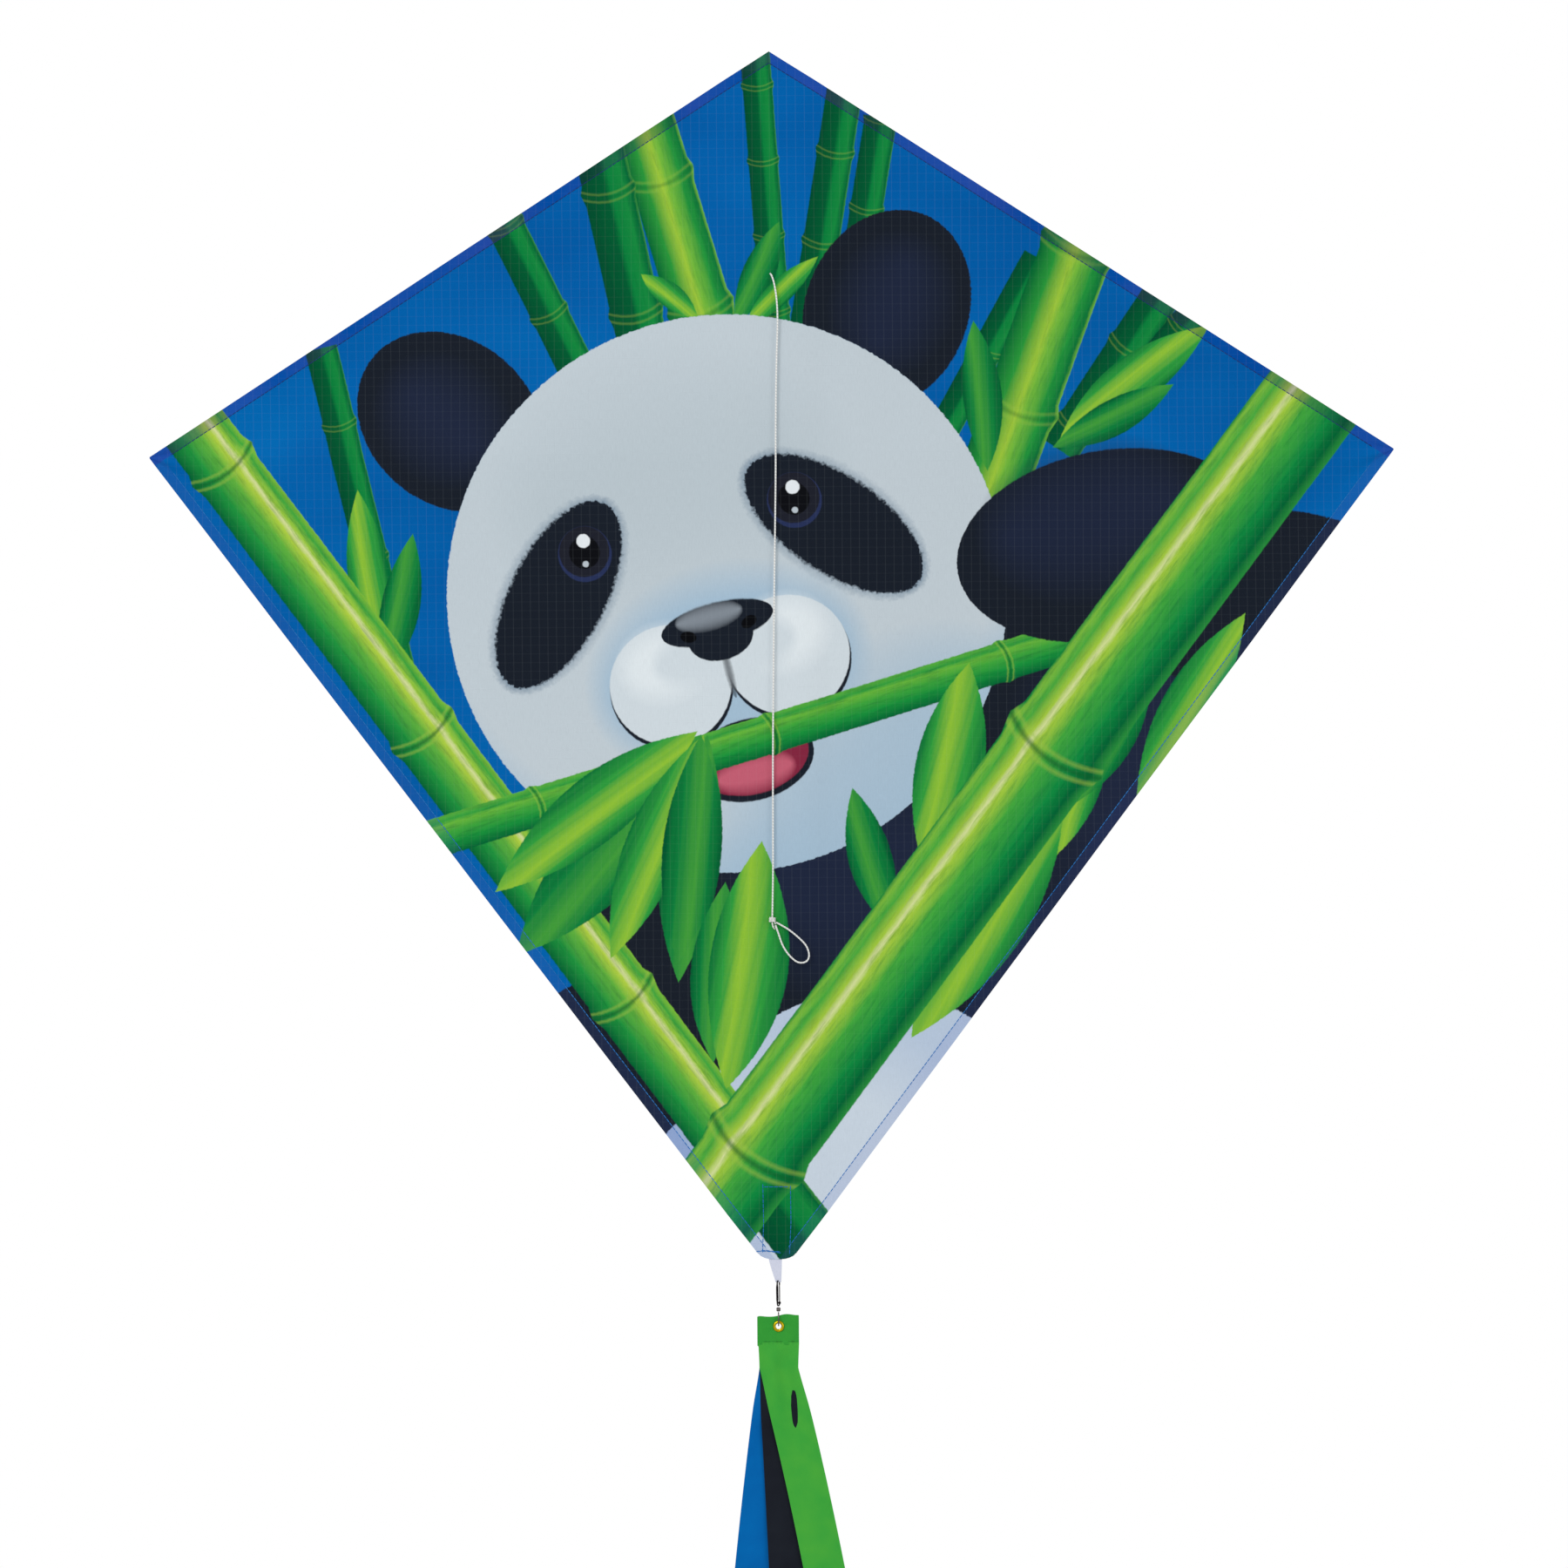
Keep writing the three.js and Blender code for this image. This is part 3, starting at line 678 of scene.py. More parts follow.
def metal(name, colour, tint, roughness):
    """Metal with fine scratches, patches of wear and a slightly uneven shine."""
    g = Graph(name)
    place = g.object_place()
    wear = g.noise(place, 0.9, 4.0, 0.6)
    fine = g.noise(g.vector("MULTIPLY", place, (30.0, 30.0, 1.0)), 0.5, 2.0)
    base = g.mix(g.ramp01(wear, 1.8, -0.5), colour, tint)
    rough = g.ramp01(wear + fine, 0.18, roughness - 0.1)
    return g.finish(base, rough, fine, bump=0.08, Metallic=1.0)


def moulded(name, colour, raised_grain_tone):
    """Moulded vinyl with a fine leathery grain, lighter where the grain is raised."""
    g = Graph(name)
    place = g.object_place()
    skin = g.noise(place, 1.6, 4.0, 0.6)
    base = g.mix(g.ramp01(skin, 1.6, -0.6), colour, raised_grain_tone)
    return g.finish(base, g.ramp01(skin, 0.35, 0.32), skin, bump=0.25)


def pultruded(name):
    """Fibreglass rod: glossy dark resin over fibres that run along it."""
    g = Graph(name)
    place = g.flat_place()
    fibres = g.noise(g.vector("MULTIPLY", place, (0.02, 9.0, 1.0)), 1.0, 3.0, 0.7)
    base = g.mix(g.ramp01(fibres, 2.2, -0.6), srgb(20, 21, 24), srgb(62, 64, 68))
    return g.finish(base, g.ramp01(fibres, 0.25, 0.22), fibres, bump=0.12, Coat_Weight=0.4)


BACK_FADE = 0.16  # how much paler the print is behind
SAIL_FRONT = sail_cloth("sail_print")
SAIL_BACK = SAIL_FRONT.copy()
SAIL_BACK.name = "sail_print_back"
SAIL_BACK.node_tree.nodes["fade"].inputs["Factor"].default_value = BACK_FADE
PATCH = plain_cloth("patch_cloth", srgb(24, 26, 32), srgb(46, 50, 58))
BLUE_THREAD = plain_cloth("blue_thread", srgb(20, 92, 168), srgb(60, 130, 196), pitch=0.3)
DARK_THREAD = plain_cloth("dark_thread", srgb(20, 40, 92), srgb(44, 66, 120), pitch=0.3)
GREEN_THREAD = plain_cloth("green_thread", srgb(30, 120, 44), srgb(70, 160, 70), pitch=0.3)
STRING = string_material("white_string", srgb(238, 238, 234), srgb(176, 178, 180))
RIBBON = plain_cloth("white_ribbon", srgb(188, 192, 212), srgb(214, 218, 232), pitch=0.4, shine=0.3)
DARK_STEEL = metal("dark_steel", srgb(32, 27, 29), srgb(16, 14, 17), 0.42)
BRIGHT_STEEL = metal("bright_steel", srgb(118, 112, 110), srgb(84, 78, 76), 0.26)
BRASS = metal("eyelet_brass", srgb(206, 186, 30), srgb(168, 140, 16), 0.24)
VINYL = moulded("black_vinyl", srgb(16, 17, 20), srgb(44, 46, 50))
ROD = pultruded("fibreglass_rod")
GREEN = plain_cloth("green_cloth", srgb(46, 154, 58), srgb(76, 168, 58))
# Painted shade: the tail head's green is a darker copy of the streamers' green, for folded cloth that lets
# less light through.
SHADED_HEAD_GREEN = plain_cloth("shaded_head_green_cloth", srgb(42, 142, 52), srgb(58, 154, 54))
BLACK = plain_cloth("black_cloth", srgb(20, 22, 30), srgb(30, 34, 42))
BLUE = plain_cloth("blue_cloth", srgb(0, 86, 158), srgb(0, 104, 176))

# ---- Mesh helpers ----


def make_object(name, points, faces, uvs, materials, slots=None):
    """A mesh from points and a flat coordinate for each, all in millimetres."""
    mesh = bpy.data.meshes.new(name)
    mesh.from_pydata((np.asarray(points) * MM).tolist(), [], faces)
    layer = mesh.uv_layers.new(name="flat")
    corner_points = np.zeros(len(mesh.loops), np.int32)
    mesh.loops.foreach_get("vertex_index", corner_points)
    layer.data.foreach_set("uv", (np.asarray(uvs)[corner_points] * MM).astype(np.float32).ravel())
    for material in materials:
        mesh.materials.append(material)
    if slots is not None:
        mesh.polygons.foreach_set("material_index", np.asarray(slots, np.int32))
    mesh.polygons.foreach_set("use_smooth", [True] * len(mesh.polygons))
    mesh.set_sharp_from_angle(angle=math.radians(60))
    mesh.update()
    piece = bpy.data.objects.new(name, mesh)
    bpy.context.collection.objects.link(piece)
    return piece


def settle(piece, body, slot, *nodes):
    """Says which body a piece moves with and which CAD nodes it replaces. slot, its surface, is not used.
    """
    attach(piece, body)
    if nodes:
        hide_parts(*nodes)


def grid_normals(grid):
    """Unit normals of a grid of points, rows by columns by 3."""
    across = np.gradient(grid, axis=1)
    along = np.gradient(grid, axis=0)
    normal = np.cross(along, across)
    return normal / np.maximum(np.linalg.norm(normal, axis=2, keepdims=True), 1e-9)


def sheet_object(name, grid, flat, thick, front, back):
    """A closed thin sheet about a grid of middle points. front faces along the grid's normals."""
    rows, columns = grid.shape[:2]
    normal = grid_normals(grid)
    skins = [grid + normal * thick / 2, grid - normal * thick / 2]
    points = np.concatenate([skin.reshape(-1, 3) for skin in skins])
    uvs = np.concatenate([flat.reshape(-1, 2)] * 2)
    count = rows * columns
    index = np.arange(count).reshape(rows, columns)
    a, b = index[:-1, :-1].ravel(), index[:-1, 1:].ravel()
    c, d = index[1:, 1:].ravel(), index[1:, :-1].ravel()
    top = np.stack([a, d, c, b], 1)
    bottom = np.stack([a, b, c, d], 1) + count
    rim = np.concatenate([index[0, :], index[1:, -1], index[-1, -2::-1], index[-2:0:-1, 0]])
    after = np.roll(rim, -1)
    sides = np.stack([rim, after, after + count, rim + count], 1)
    faces = np.concatenate([top, bottom, sides]).tolist()
    slots = [0] * len(top) + [1] * len(bottom) + [0] * len(sides)
    return make_object(name, points, faces, uvs, [front, back], slots)


def smooth_path(points, step):
    """Points about step apart on a smooth curve through the given ones."""
    points = np.asarray(points, float)
    ends = [2 * points[0] - points[1], *points, 2 * points[-1] - points[-2]]
    out = []
    for p0, p1, p2, p3 in zip(ends, ends[1:], ends[2:], ends[3:]):
        count = max(1, round(np.linalg.norm(p2 - p1) / step))
        slope, bend, twist = p2 - p0, 2 * p0 - 5 * p1 + 4 * p2 - p3, 3 * p1 - p0 - 3 * p2 + p3
        for t in np.arange(count) / count:
            out.append(0.5 * (2 * p1 + slope * t + bend * t**2 + twist * t**3))
    return np.array([*out, points[-1]])


def run_lengths(path):
    """How far along a path each of its points is."""
    steps = np.linalg.norm(np.diff(path, axis=0), axis=1)
    return np.concatenate([[0], np.cumsum(steps)])


def ring(centre, radius, side, up, sides):
    """Points round a circle in the plane of side and up."""
    angles = [2 * math.pi * k / sides for k in range(sides)]
    return [centre + radius * (side * math.cos(a) + up * math.sin(a)) for a in angles]


def ring_faces(count, sides, closed=False):
    """The faces between rings of points, and over the two ends unless the last ring meets the first."""
    faces = []
    for i in range(count if closed else count - 1):
        j = (i + 1) % count
        for k in range(sides):
            m = (k + 1) % sides
            faces.append([i * sides + k, i * sides + m, j * sides + m, j * sides + k])
    if not closed:
        faces.append(list(range(sides))[::-1])
        faces.append([(count - 1) * sides + k for k in range(sides)])
    return faces


def tube_mesh(path, radius, sides, closed=False):
    """Points, faces and flat coordinates of a round tube along a path. radius may change along it."""
    path = np.asarray(path, float)
    count = len(path)
    radius = np.broadcast_to(np.asarray(radius, float), (count,))
    ahead = np.roll(path, -1, 0) - np.roll(path, 1, 0) if closed else np.gradient(path, axis=0)
    ahead /= np.linalg.norm(ahead, axis=1, keepdims=True)
    side = np.cross(ahead[0], [0.0, 0.0, 1.0])
    if np.linalg.norm(side) < 0.1:
        side = np.cross(ahead[0], [1.0, 0.0, 0.0])
    points, uvs = [], []
    for i, along in enumerate(run_lengths(path)):
        side = side - ahead[i] * (side @ ahead[i])
        side /= np.linalg.norm(side)
        points.extend(ring(path[i], radius[i], side, np.cross(ahead[i], side), sides))
        uvs.extend((along, k / sides) for k in range(sides))
    return points, ring_faces(count, sides, closed), uvs


def lathe_mesh(profile, axis, centre, sides, closed=False):
    """Points, faces and flat coordinates of a turned shape.

    profile is (radius, height), with height along axis from centre.
    """
    axis = np.asarray(axis, float) / np.linalg.norm(axis)
    side = np.cross(axis, [0.0, 0.0, 1.0]) if abs(axis[2]) < 0.9 else np.array([1.0, 0.0, 0.0])
    side /= np.linalg.norm(side)
    up = np.cross(axis, side)
    points, uvs = [], []
    for radius, height in profile:
        points.extend(ring(np.asarray(centre) + axis * height, radius, side, up, sides))
        uvs.extend((height, radius * 2 * math.pi * k / sides) for k in range(sides))
    return points, ring_faces(len(profile), sides, closed), uvs


def add_part(whole, part):
    """Adds (points, faces, uvs) to others of the same kind."""
    base = len(whole[0])
    whole[0].extend(part[0])
    whole[1].extend([[base + i for i in face] for face in part[1]])
    whole[2].extend(part[2])


def joined(name, parts, material):
    """One object from several (points, faces, uvs) parts."""
    whole = ([], [], [])
    for part in parts:
        add_part(whole, part)
    return make_object(name, *whole, [material])


# ---- Cords: the bridle line and the tow loop that slides on it ----

BRIDLE_ROUTE = [
    (0, -0.0089, 0.1088),
    (0, -0.0102, 0.1088),
    (0.0005, -0.0117, 0.1082),
    (0.0016, -0.0127, 0.1054),
    (0.0027, -0.013, 0.1005),
    (0.0038, -0.0129, 0.092),
    (0.0042, -0.0128, 0.08),
    (0.0036, -0.0128, 0.062),
    (0.003, -0.0128, 0.04),
    (0.0026, -0.0128, 0.014),
    (0.0024, -0.0128, -0.012),
    (0.0019, -0.0128, -0.042),
    (0.0012, -0.0128, -0.076),
    (0.0006, -0.0128, -0.11),
    (0, -0.0128, -0.15),
    (-0.0005, -0.0128, -0.19),
    (-0.0007, -0.0128, -0.225),
    (-0.0009, -0.0128, -0.255),
    (-0.0013, -0.0128, -0.275),
    (-0.0015, -0.0128, -0.283),
    (-0.0015, -0.0128, -0.287),
    (-0.0011, -0.0124, -0.2892),
    (-0.0004, -0.0115, -0.2904),
    (0, -0.0102, -0.2907),
    (0, -0.0089, -0.2907),
]
TOW_LOOP_ROUTE = [
    (0.0004, -0.0132, -0.2884),
    (0.0021, -0.013, -0.2933),
    (0.0047, -0.0128, -0.3007),
    (0.0085, -0.0128, -0.3066),
    (0.0133, -0.0128, -0.3108),
    (0.0174, -0.0128, -0.3113),
    (0.02, -0.0128, -0.3096),
    (0.0207, -0.0128, -0.3061),
    (0.0191, -0.0128, -0.3013),
    (0.0154, -0.0128, -0.297),
    (0.009, -0.0128, -0.2916),
    (0.0035, -0.0128, -0.2882),
    (0.0009, -0.013, -0.2868),
]
KNOT_STRAND_R = 0.42
HITCH_STRAND_R = 0.52


def wraps(centre, radius, strand, turns, rise, start):
    """The mesh of a string wound round a vertical line, from an angle start."""
    steps = 20
    count = round(turns * steps)
    points = []
    for i in range(count + 1):
        angle = start + 2 * math.pi * i / steps
        z = centre[2] + rise * (i / count - 0.5)
        points.append((centre[0] + radius * math.cos(angle), centre[1] + radius * math.sin(angle), z))
    return tube_mesh(points, strand, 8)


def make_bridle_line():
    path = smooth_path(np.array(BRIDLE_ROUTE) / MM, 1.5)
    line = joined("bridle_line_string", [tube_mesh(path, STRING_D / 2, 10)], STRING)
    settle(line, "airframe", "string", "bridle_line")


def make_tow_knot():
    """The tow loop's turns round the bridle line, and the strand that crosses them."""
    turns = wraps(KNOT + np.array([0, 0, 0.1]), 1.72, KNOT_STRAND_R, 3.2, 2.5, start=1.0)
    crossing = [(-1.6, -0.7, 1.4), (0.2, -2.0, 0.6), (1.5, -1.5, -1.2), (1.8, -0.8, -2.6)]
    strand = tube_mesh(smooth_path(KNOT + np.array(crossing), 0.4), KNOT_STRAND_R, 8)
    knot = joined("tow_knot_wraps", [turns, strand], STRING)
    settle(knot, "tow_knot", "string", "tow_knot")
    return knot


def make_tow_loop(knot):
    path = smooth_path(np.array(TOW_LOOP_ROUTE) / MM, 0.8)
    loop = joined("tow_loop_string", [tube_mesh(path, STRING_D / 2, 10)], STRING)
    settle(loop, "tow_loop", "string", "tow_loop")


def make_bridle_hitch(place, hole_z):
    """An end of the bridle line: in through the sail, round the spine and out as a short tail."""
    lead = [(0, SAIL_Y - AXIS_Y + 1.0, 0), (0.2, -3.4, 0.1), (1.4, -2.4, 0.5), (2.5, -0.6, 0.9)]
    tail = [(0.9, -2.5, -0.9), (0.2, -3.6, -0.4), (-1.2, -3.3, 0.3), (-2.6, -3.4, -2.2), (-3.0, -3.0, -5.5)]
    centre = np.array([0, AXIS_Y, hole_z])
    turns = wraps(centre, SPINE_R + 0.56, HITCH_STRAND_R, 2.4, 2.4, start=-1.6)
    strands = [tube_mesh(smooth_path(centre + np.array(lead), 0.4), HITCH_STRAND_R, 8)]
    strands.append(tube_mesh(smooth_path(centre + np.array(tail), 0.4), 0.5, 8))
    hitch = joined(f"{place}_bridle_knot", [turns, *strands], STRING)
    settle(hitch, "airframe", "string", f"{place}_bridle_hitch")


make_bridle_line()
make_tow_loop(make_tow_knot())
make_bridle_hitch("upper", UPPER_HOLE_Z)
make_bridle_hitch("lower", LOWER_HOLE_Z)

# ---- The sail's surface ----


def upper_edge(x):
    return NOSE_Z * (1 - np.abs(x) / HALF)


def lower_edge(x):
    """The lower edge, with its bottom corner cut off and rounded."""
    line = LOWER_CORNER_Z * (1 - np.abs(x) / HALF)
    cut = TAIL_EDGE_Z + 3.2 * (np.abs(x) / 11.5) ** 3
    return np.where(np.abs(x) < CUT_X, np.maximum(line, cut), line)


def creases(across, along, height, reach, ripples, clear, shift=0.0):
    """Creases that fan out from a corner and die away. across and along are measured from it."""
    away = np.hypot(across, along)
    fan = np.sin(np.arctan2(across, along) * ripples + shift)
    return height * np.exp(-away / reach) * fan * np.clip(away / clear, 0, 1)


def relief(x, z):
    """How far the cloth lies behind its flat place: a slight belly, and creases at the corners."""
    x, z = np.abs(x) + 0.0 * z, z + 0.0 * x
    share = np.clip(x / HALF, 0, 1)
    up = np.clip(z / np.maximum(upper_edge(x), 1), 0, 1)
    down = np.clip(z / np.minimum(lower_edge(x), -1), 0, 1)
    belly = np.where(z > 0, 2.6 * np.sin(np.pi * up), 4.6 * np.sin(np.pi * down))
    belly = belly * np.sin(np.pi * share) ** 0.8
    tip = creases(z, HALF - x, height=0.8, reach=70, ripples=9, clear=12, shift=0.6)
    nose = creases(x, NOSE_Z - z, height=0.7, reach=60, ripples=8, clear=15)
    tail = creases(x, z - TAIL_EDGE_Z, height=0.6, reach=60, ripples=12, clear=20)
    drift = 0.35 * np.sin(x / 23 + z / 61) * np.sin(z / 37 - x / 90) + 0.2 * np.sin(x / 11.0 - z / 47 + 1.3)
    slack = 0.5 * np.sin((x * 0.6 - z) / 17) * np.exp(-np.abs(z - lower_edge(x)) / 14)
    spread = np.clip((x - 4) / 30, 0, 1)  # the cloth lies flat along the spine
    return belly * spread + tip + (nose + tail) * spread + (drift + slack) * spread


def on_sail(x, z, back=0.0):
    """Where a flat place is in space, in millimetres, or a place that lies back behind it."""
    x, z, back = np.broadcast_arrays(np.asarray(x, float), np.asarray(z, float), np.asarray(back, float))
    side = np.where(x < 0, -1.0, 1.0)
    reach = np.abs(x)
    deep = SAIL_Y + relief(x, z) + back
    wing_x = HINGE_X + (reach - HINGE_X) * math.cos(LEAN) - (deep - AXIS_Y) * math.sin(LEAN)
    wing_y = AXIS_Y + (reach - HINGE_X) * math.sin(LEAN) + (deep - AXIS_Y) * math.cos(LEAN)
    turn = np.clip((reach - FOLD_START) / (FOLD_END - FOLD_START), 0, 1)
    turn = turn * turn * (3 - 2 * turn)
    return np.stack([side * (reach * (1 - turn) + wing_x * turn), deep * (1 - turn) + wing_y * turn, z], -1)


def bend_with_wing(piece):
    """Bakes a piece's placing into its mesh. Its bend at the fold beside the spine is already in its shape,
    from on_sail.
    """
    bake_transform(piece)


def make_half_sail(name, side):
    """Half of the sail, from the spine line to the wing tip, with finer columns beside the spine."""
    reach = np.concatenate([np.linspace(0, 40, 17), np.linspace(44, HALF - 0.4, 84)])
    share = np.linspace(0, 1, 176)[:, None]
    x = side * np.broadcast_to(reach, (len(share), len(reach)))
    z = lower_edge(reach) + (upper_edge(reach) - lower_edge(reach)) * share
    grid = on_sail(x, z)
    flat = np.stack([x, z], -1)
    if side < 0:
        grid, flat = grid[:, ::-1], flat[:, ::-1]
    sail = sheet_object(f"{name}_sail", grid, flat, CLOTH, SAIL_BACK, SAIL_FRONT)
    bend_with_wing(sail)
    return sail


def edge_run(side, upper):
    """The two ends of a sail edge, from the spine to the tip, and the unit step inwards from it."""
    x0 = 0.0 if upper else CUT_X
    x1 = HALF - 3.0
    edge = upper_edge if upper else lower_edge
    start, end = np.array([x0, float(edge(x0))]), np.array([x1, float(edge(x1))])
    along = (end - start) / np.linalg.norm(end - start)
    inward = np.array([along[1], -along[0]]) if upper else np.array([-along[1], along[0]])
    flip = np.array([side, 1.0])
    return start * flip, end * flip, inward * flip


def make_hem(name, side, upper):
    """The folded edge of the sail, seen from behind: it shows the printed face turned over."""
    start, end, inward = edge_run(side, upper)
    along = np.linspace(0, 1, 150)[:, None]
    wide = np.linspace(0, HEM, 6)[None, :]
    edge_x, edge_z = start[0] + (end[0] - start[0]) * along, start[1] + (end[1] - start[1]) * along
    x, z = edge_x + inward[0] * wide, edge_z + inward[1] * wide
    x = np.where(x * side < 0, 0.0, x)
    puff = 0.34 + 0.16 * np.sin(np.pi * wide / HEM) + 0.04 * np.sin(along * 260)
    grid = on_sail(x, z, np.broadcast_to(puff, x.shape))
    flat = np.stack([edge_x - inward[0] * wide, edge_z - inward[1] * wide], -1)
    if (side > 0) == upper:
        grid, flat = grid[:, ::-1], flat[:, ::-1]
    place = "upper" if upper else "lower"
    hem = sheet_object(f"{name}_{place}_hem_fold", grid, flat, CLOTH, SAIL_BACK, SAIL_FRONT)
    bend_with_wing(hem)
    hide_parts(f"{name}_{place}_hem")
    return hem


STITCH_SIDES = 6
STITCH_RINGS = ((0.0, 0.35), (0.18, 1.0), (0.82, 1.0), (1.0, 0.35))  # share of its length, of its radius


def stitch_row(places, length=2.7, gap=0.3, radius=0.25, back=-CLOTH / 2, on=on_sail):
    """Short stitches along flat places. Returns (points, faces, uvs)."""
    places = np.asarray(places, float)
    total = run_lengths(places)
    row = ([], [], [])
    for number, begin in enumerate(np.arange(0.3, total[-1] - length, length + gap)):
        ends = []
        for at in (begin, begin + length):
            x, z = np.interp(at, total, places[:, 0]), np.interp(at, total, places[:, 1])
            ends.append(on(x, z, back))
        a, b = ends
        ahead = (b - a) / np.linalg.norm(b - a)
        side = np.cross(ahead, [0.0, 1.0, 0.0])
        side /= np.linalg.norm(side)
        out = np.cross(side, ahead)
        points, uvs = [], []
        for share, wide in STITCH_RINGS:
            points.extend(ring(a + (b - a) * share, radius * wide, side, out, STITCH_SIDES))
            uvs.extend((begin + share * length, number + k / STITCH_SIDES) for k in range(STITCH_SIDES))
        add_part(row, (points, ring_faces(len(STITCH_RINGS), STITCH_SIDES), uvs))
    return row


def make_edge_stitching(name, side, upper):
    """The row of stitches that holds a hem, seen on the front, and its twin behind."""
    start, end, inward = edge_run(side, upper)
    inset = inward * (HEM - 0.4)
    line = [start + inset, end + inset - (end - start) * 0.016]
    if upper:
        line[0] = line[0] + (line[1] - line[0]) * 0.008
    rows = [stitch_row(line), stitch_row(line, back=0.62)]
    place = "upper" if upper else "lower"
    thread = joined(f"{name}_{place}_stitching", rows, DARK_THREAD if upper else BLUE_THREAD)
    bend_with_wing(thread)
    return thread


SAIL_DROP = NOSE_Z - LOWER_CORNER_Z
for wing_name, wing_side in (("left", -1), ("right", 1)):
    half_sail = make_half_sail(wing_name, wing_side)
    if wing_side < 0:
        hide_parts("left_sail_panel", "sail_centre")
    else:
        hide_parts("right_sail_panel")
    for is_upper in (True, False):
        make_hem(wing_name, wing_side, is_upper)
        make_edge_stitching(wing_name, wing_side, is_upper)
    HALF * MM
    HALF * SAIL_DROP / 2 * MM * MM


# ---- Patches and pockets behind the sail ----

POCKET_CLOTH = 0.35
PATCH_CLOTH = 0.25


def smooth_step(value, low, high):
    t = np.clip((value - low) / (high - low), 0, 1)
    return t * t * (3 - 2 * t)


def make_pocket(name, body, along, across, rise, place):
    """A sewn pocket. along and across are its rows and columns, from edge to edge.

    rise is its height over the sail, and place puts it in space.
    """
    a, c = np.meshgrid(along, across, indexing="ij")
    grid, flat = place(a, c, rise(a, c))
    pocket = sheet_object(f"{name}_cloth", grid, flat, POCKET_CLOTH, PATCH, PATCH)
    settle(pocket, body, "patch_cloth", name)


def make_tip_pocket(name, side):
    """Cloth over the spar's end, sewn down along both sides and across the tip."""
    mouth, end = HALF - 40, HALF - 4.5
    width_places, half_widths = [mouth, HALF - 14, HALF - 6, end], [9.5, 8.0, 3.4, 2.2]

    def rise(x, c):
        shut = 1 - smooth_step(x, HALF - 13, HALF - 5)
        dome = np.clip(1 - np.abs(c) ** 2.6, 0, 1) ** 0.75
        wrinkle = 0.22 * np.sin(x * 0.9 + c * 5) * dome * (1 - np.abs(c))
        return 0.5 + (8.1 * shut + 0.35) * dome + wrinkle

    def place(x, c, back):
        z = c * np.interp(x, width_places, half_widths) - 0.6
        return on_sail(side * x, z, back), np.stack([side * x, z], -1)

    across = np.linspace(side, -side, 35)
    make_pocket(f"{name}_tip_pocket", f"{name}_wing", np.linspace(mouth, end, 44), across, rise, place)


def make_spine_pocket(end):
    """Cloth over an end of the spine."""
    if end == "nose":
        way, mouth, shut_at, last = 1, NOSE_Z - 36, NOSE_Z - 7.5, NOSE_Z - 2.2
        width_places, half_widths = np.array([mouth, NOSE_Z - 9, last]), [11.0, 8.0, 1.4]
    else:
        way, mouth, shut_at, last = -1, TAIL_EDGE_Z + 44, TAIL_EDGE_Z + 6.2, TAIL_EDGE_Z + 2.6
        width_places, half_widths = np.array([mouth, TAIL_EDGE_Z + 8, last]), [8.6, 8.6, 8.2]

    def half_width(z):
        return np.interp(way * z, way * width_places, half_widths)

    def rise(z, c):
        shut = 1 - smooth_step(way * z, way * shut_at - 2, way * last + 0.5)
        dome = np.exp(-((np.abs(c) * half_width(z) / 4.9) ** 3.2))
        return 0.42 + (8.75 * shut + 0.2) * dome + 0.15 * np.sin(z * 0.8 + c * 4) * (1 - np.abs(c))

    def place(z, c, back):
        x = c * half_width(z)
        return np.stack([x, SAIL_Y + back, z], -1), np.stack([x, z], -1)

    across = np.linspace(-way, way, 37)
    make_pocket(f"{end}_pocket", "airframe", np.linspace(mouth, last, 46), across, rise, place)


def make_bridle_patch(place, hole_z):
    """A round patch behind the hole, sewn round its rim."""
    seam = 9.4
    radii = np.concatenate([[0.75, 0.95], np.linspace(1.4, PATCH_R - 0.1, 14)])
    r, t = np.meshgrid(radii, np.linspace(0, 2 * np.pi, 73), indexing="ij")
    x, z = r * np.cos(t), hole_z + r * np.sin(t)
    dent = 0.12 * smooth_step(r, seam - 0.8, seam) * (1 - smooth_step(r, seam, seam + 1))
    pucker = 0.42 + 0.1 * np.sin(t * 9) * (r / PATCH_R) ** 2 - dent
    flat = np.stack([x, z], -1)
    patch = sheet_object(f"{place}_patch_cloth", on_sail(x, z, pucker), flat, PATCH_CLOTH, PATCH, PATCH)
    rim = [(seam * math.cos(a), hole_z + seam * math.sin(a)) for a in np.linspace(0, 2 * math.pi, 60)]
    thread = joined(f"{place}_patch_stitching", [stitch_row(rim, back=0.5)], GREEN_THREAD)
    settle(patch, "airframe", "patch_cloth", f"{place}_bridle_patch")
    settle(thread, "airframe", "patch_cloth")


def make_tail_stitching():
    """The sewn box that holds the tail pocket, with a bar tack across its end."""

    def line(*corners):
        return stitch_row(corners, back=-CLOTH / 2 - 0.02)

    z_top, z_low = -448.0, -488.6
    parts = [
        line((-8.4, z_top + 2), (-8.1, -470), (-8.9, z_low)),
        line((8.4, z_top + 1), (8.6, -470), (7.6, z_low - 0.4)),
        line((-8.0, z_top), (8.4, z_top)),
        line((-13.2, -487.6), (-8.0, -486.6), (-2, -487.4), (3.2, -487.6)),
        line((-12.6, -487.2), (-6, -487.2), (2.6, -488.4)),
    ]
    settle(joined("tail_box_stitching", parts, BLUE_THREAD), "airframe", "patch_cloth")


for pocket_name, pocket_side in (("left", -1), ("right", 1)):
    make_tip_pocket(pocket_name, pocket_side)
for spine_end in ("nose", "tail"):
    make_spine_pocket(spine_end)
make_bridle_patch("upper", UPPER_HOLE_Z)
make_bridle_patch("lower", LOWER_HOLE_Z)
make_tail_stitching()

# ---- Frame: spine, cross spars, caps and the centre fitting ----

CAP_WALL = 1.1
CAP_DEPTH = 12.0
CAP_GRIP = 10.5  # how much of a rod's end a cap covers


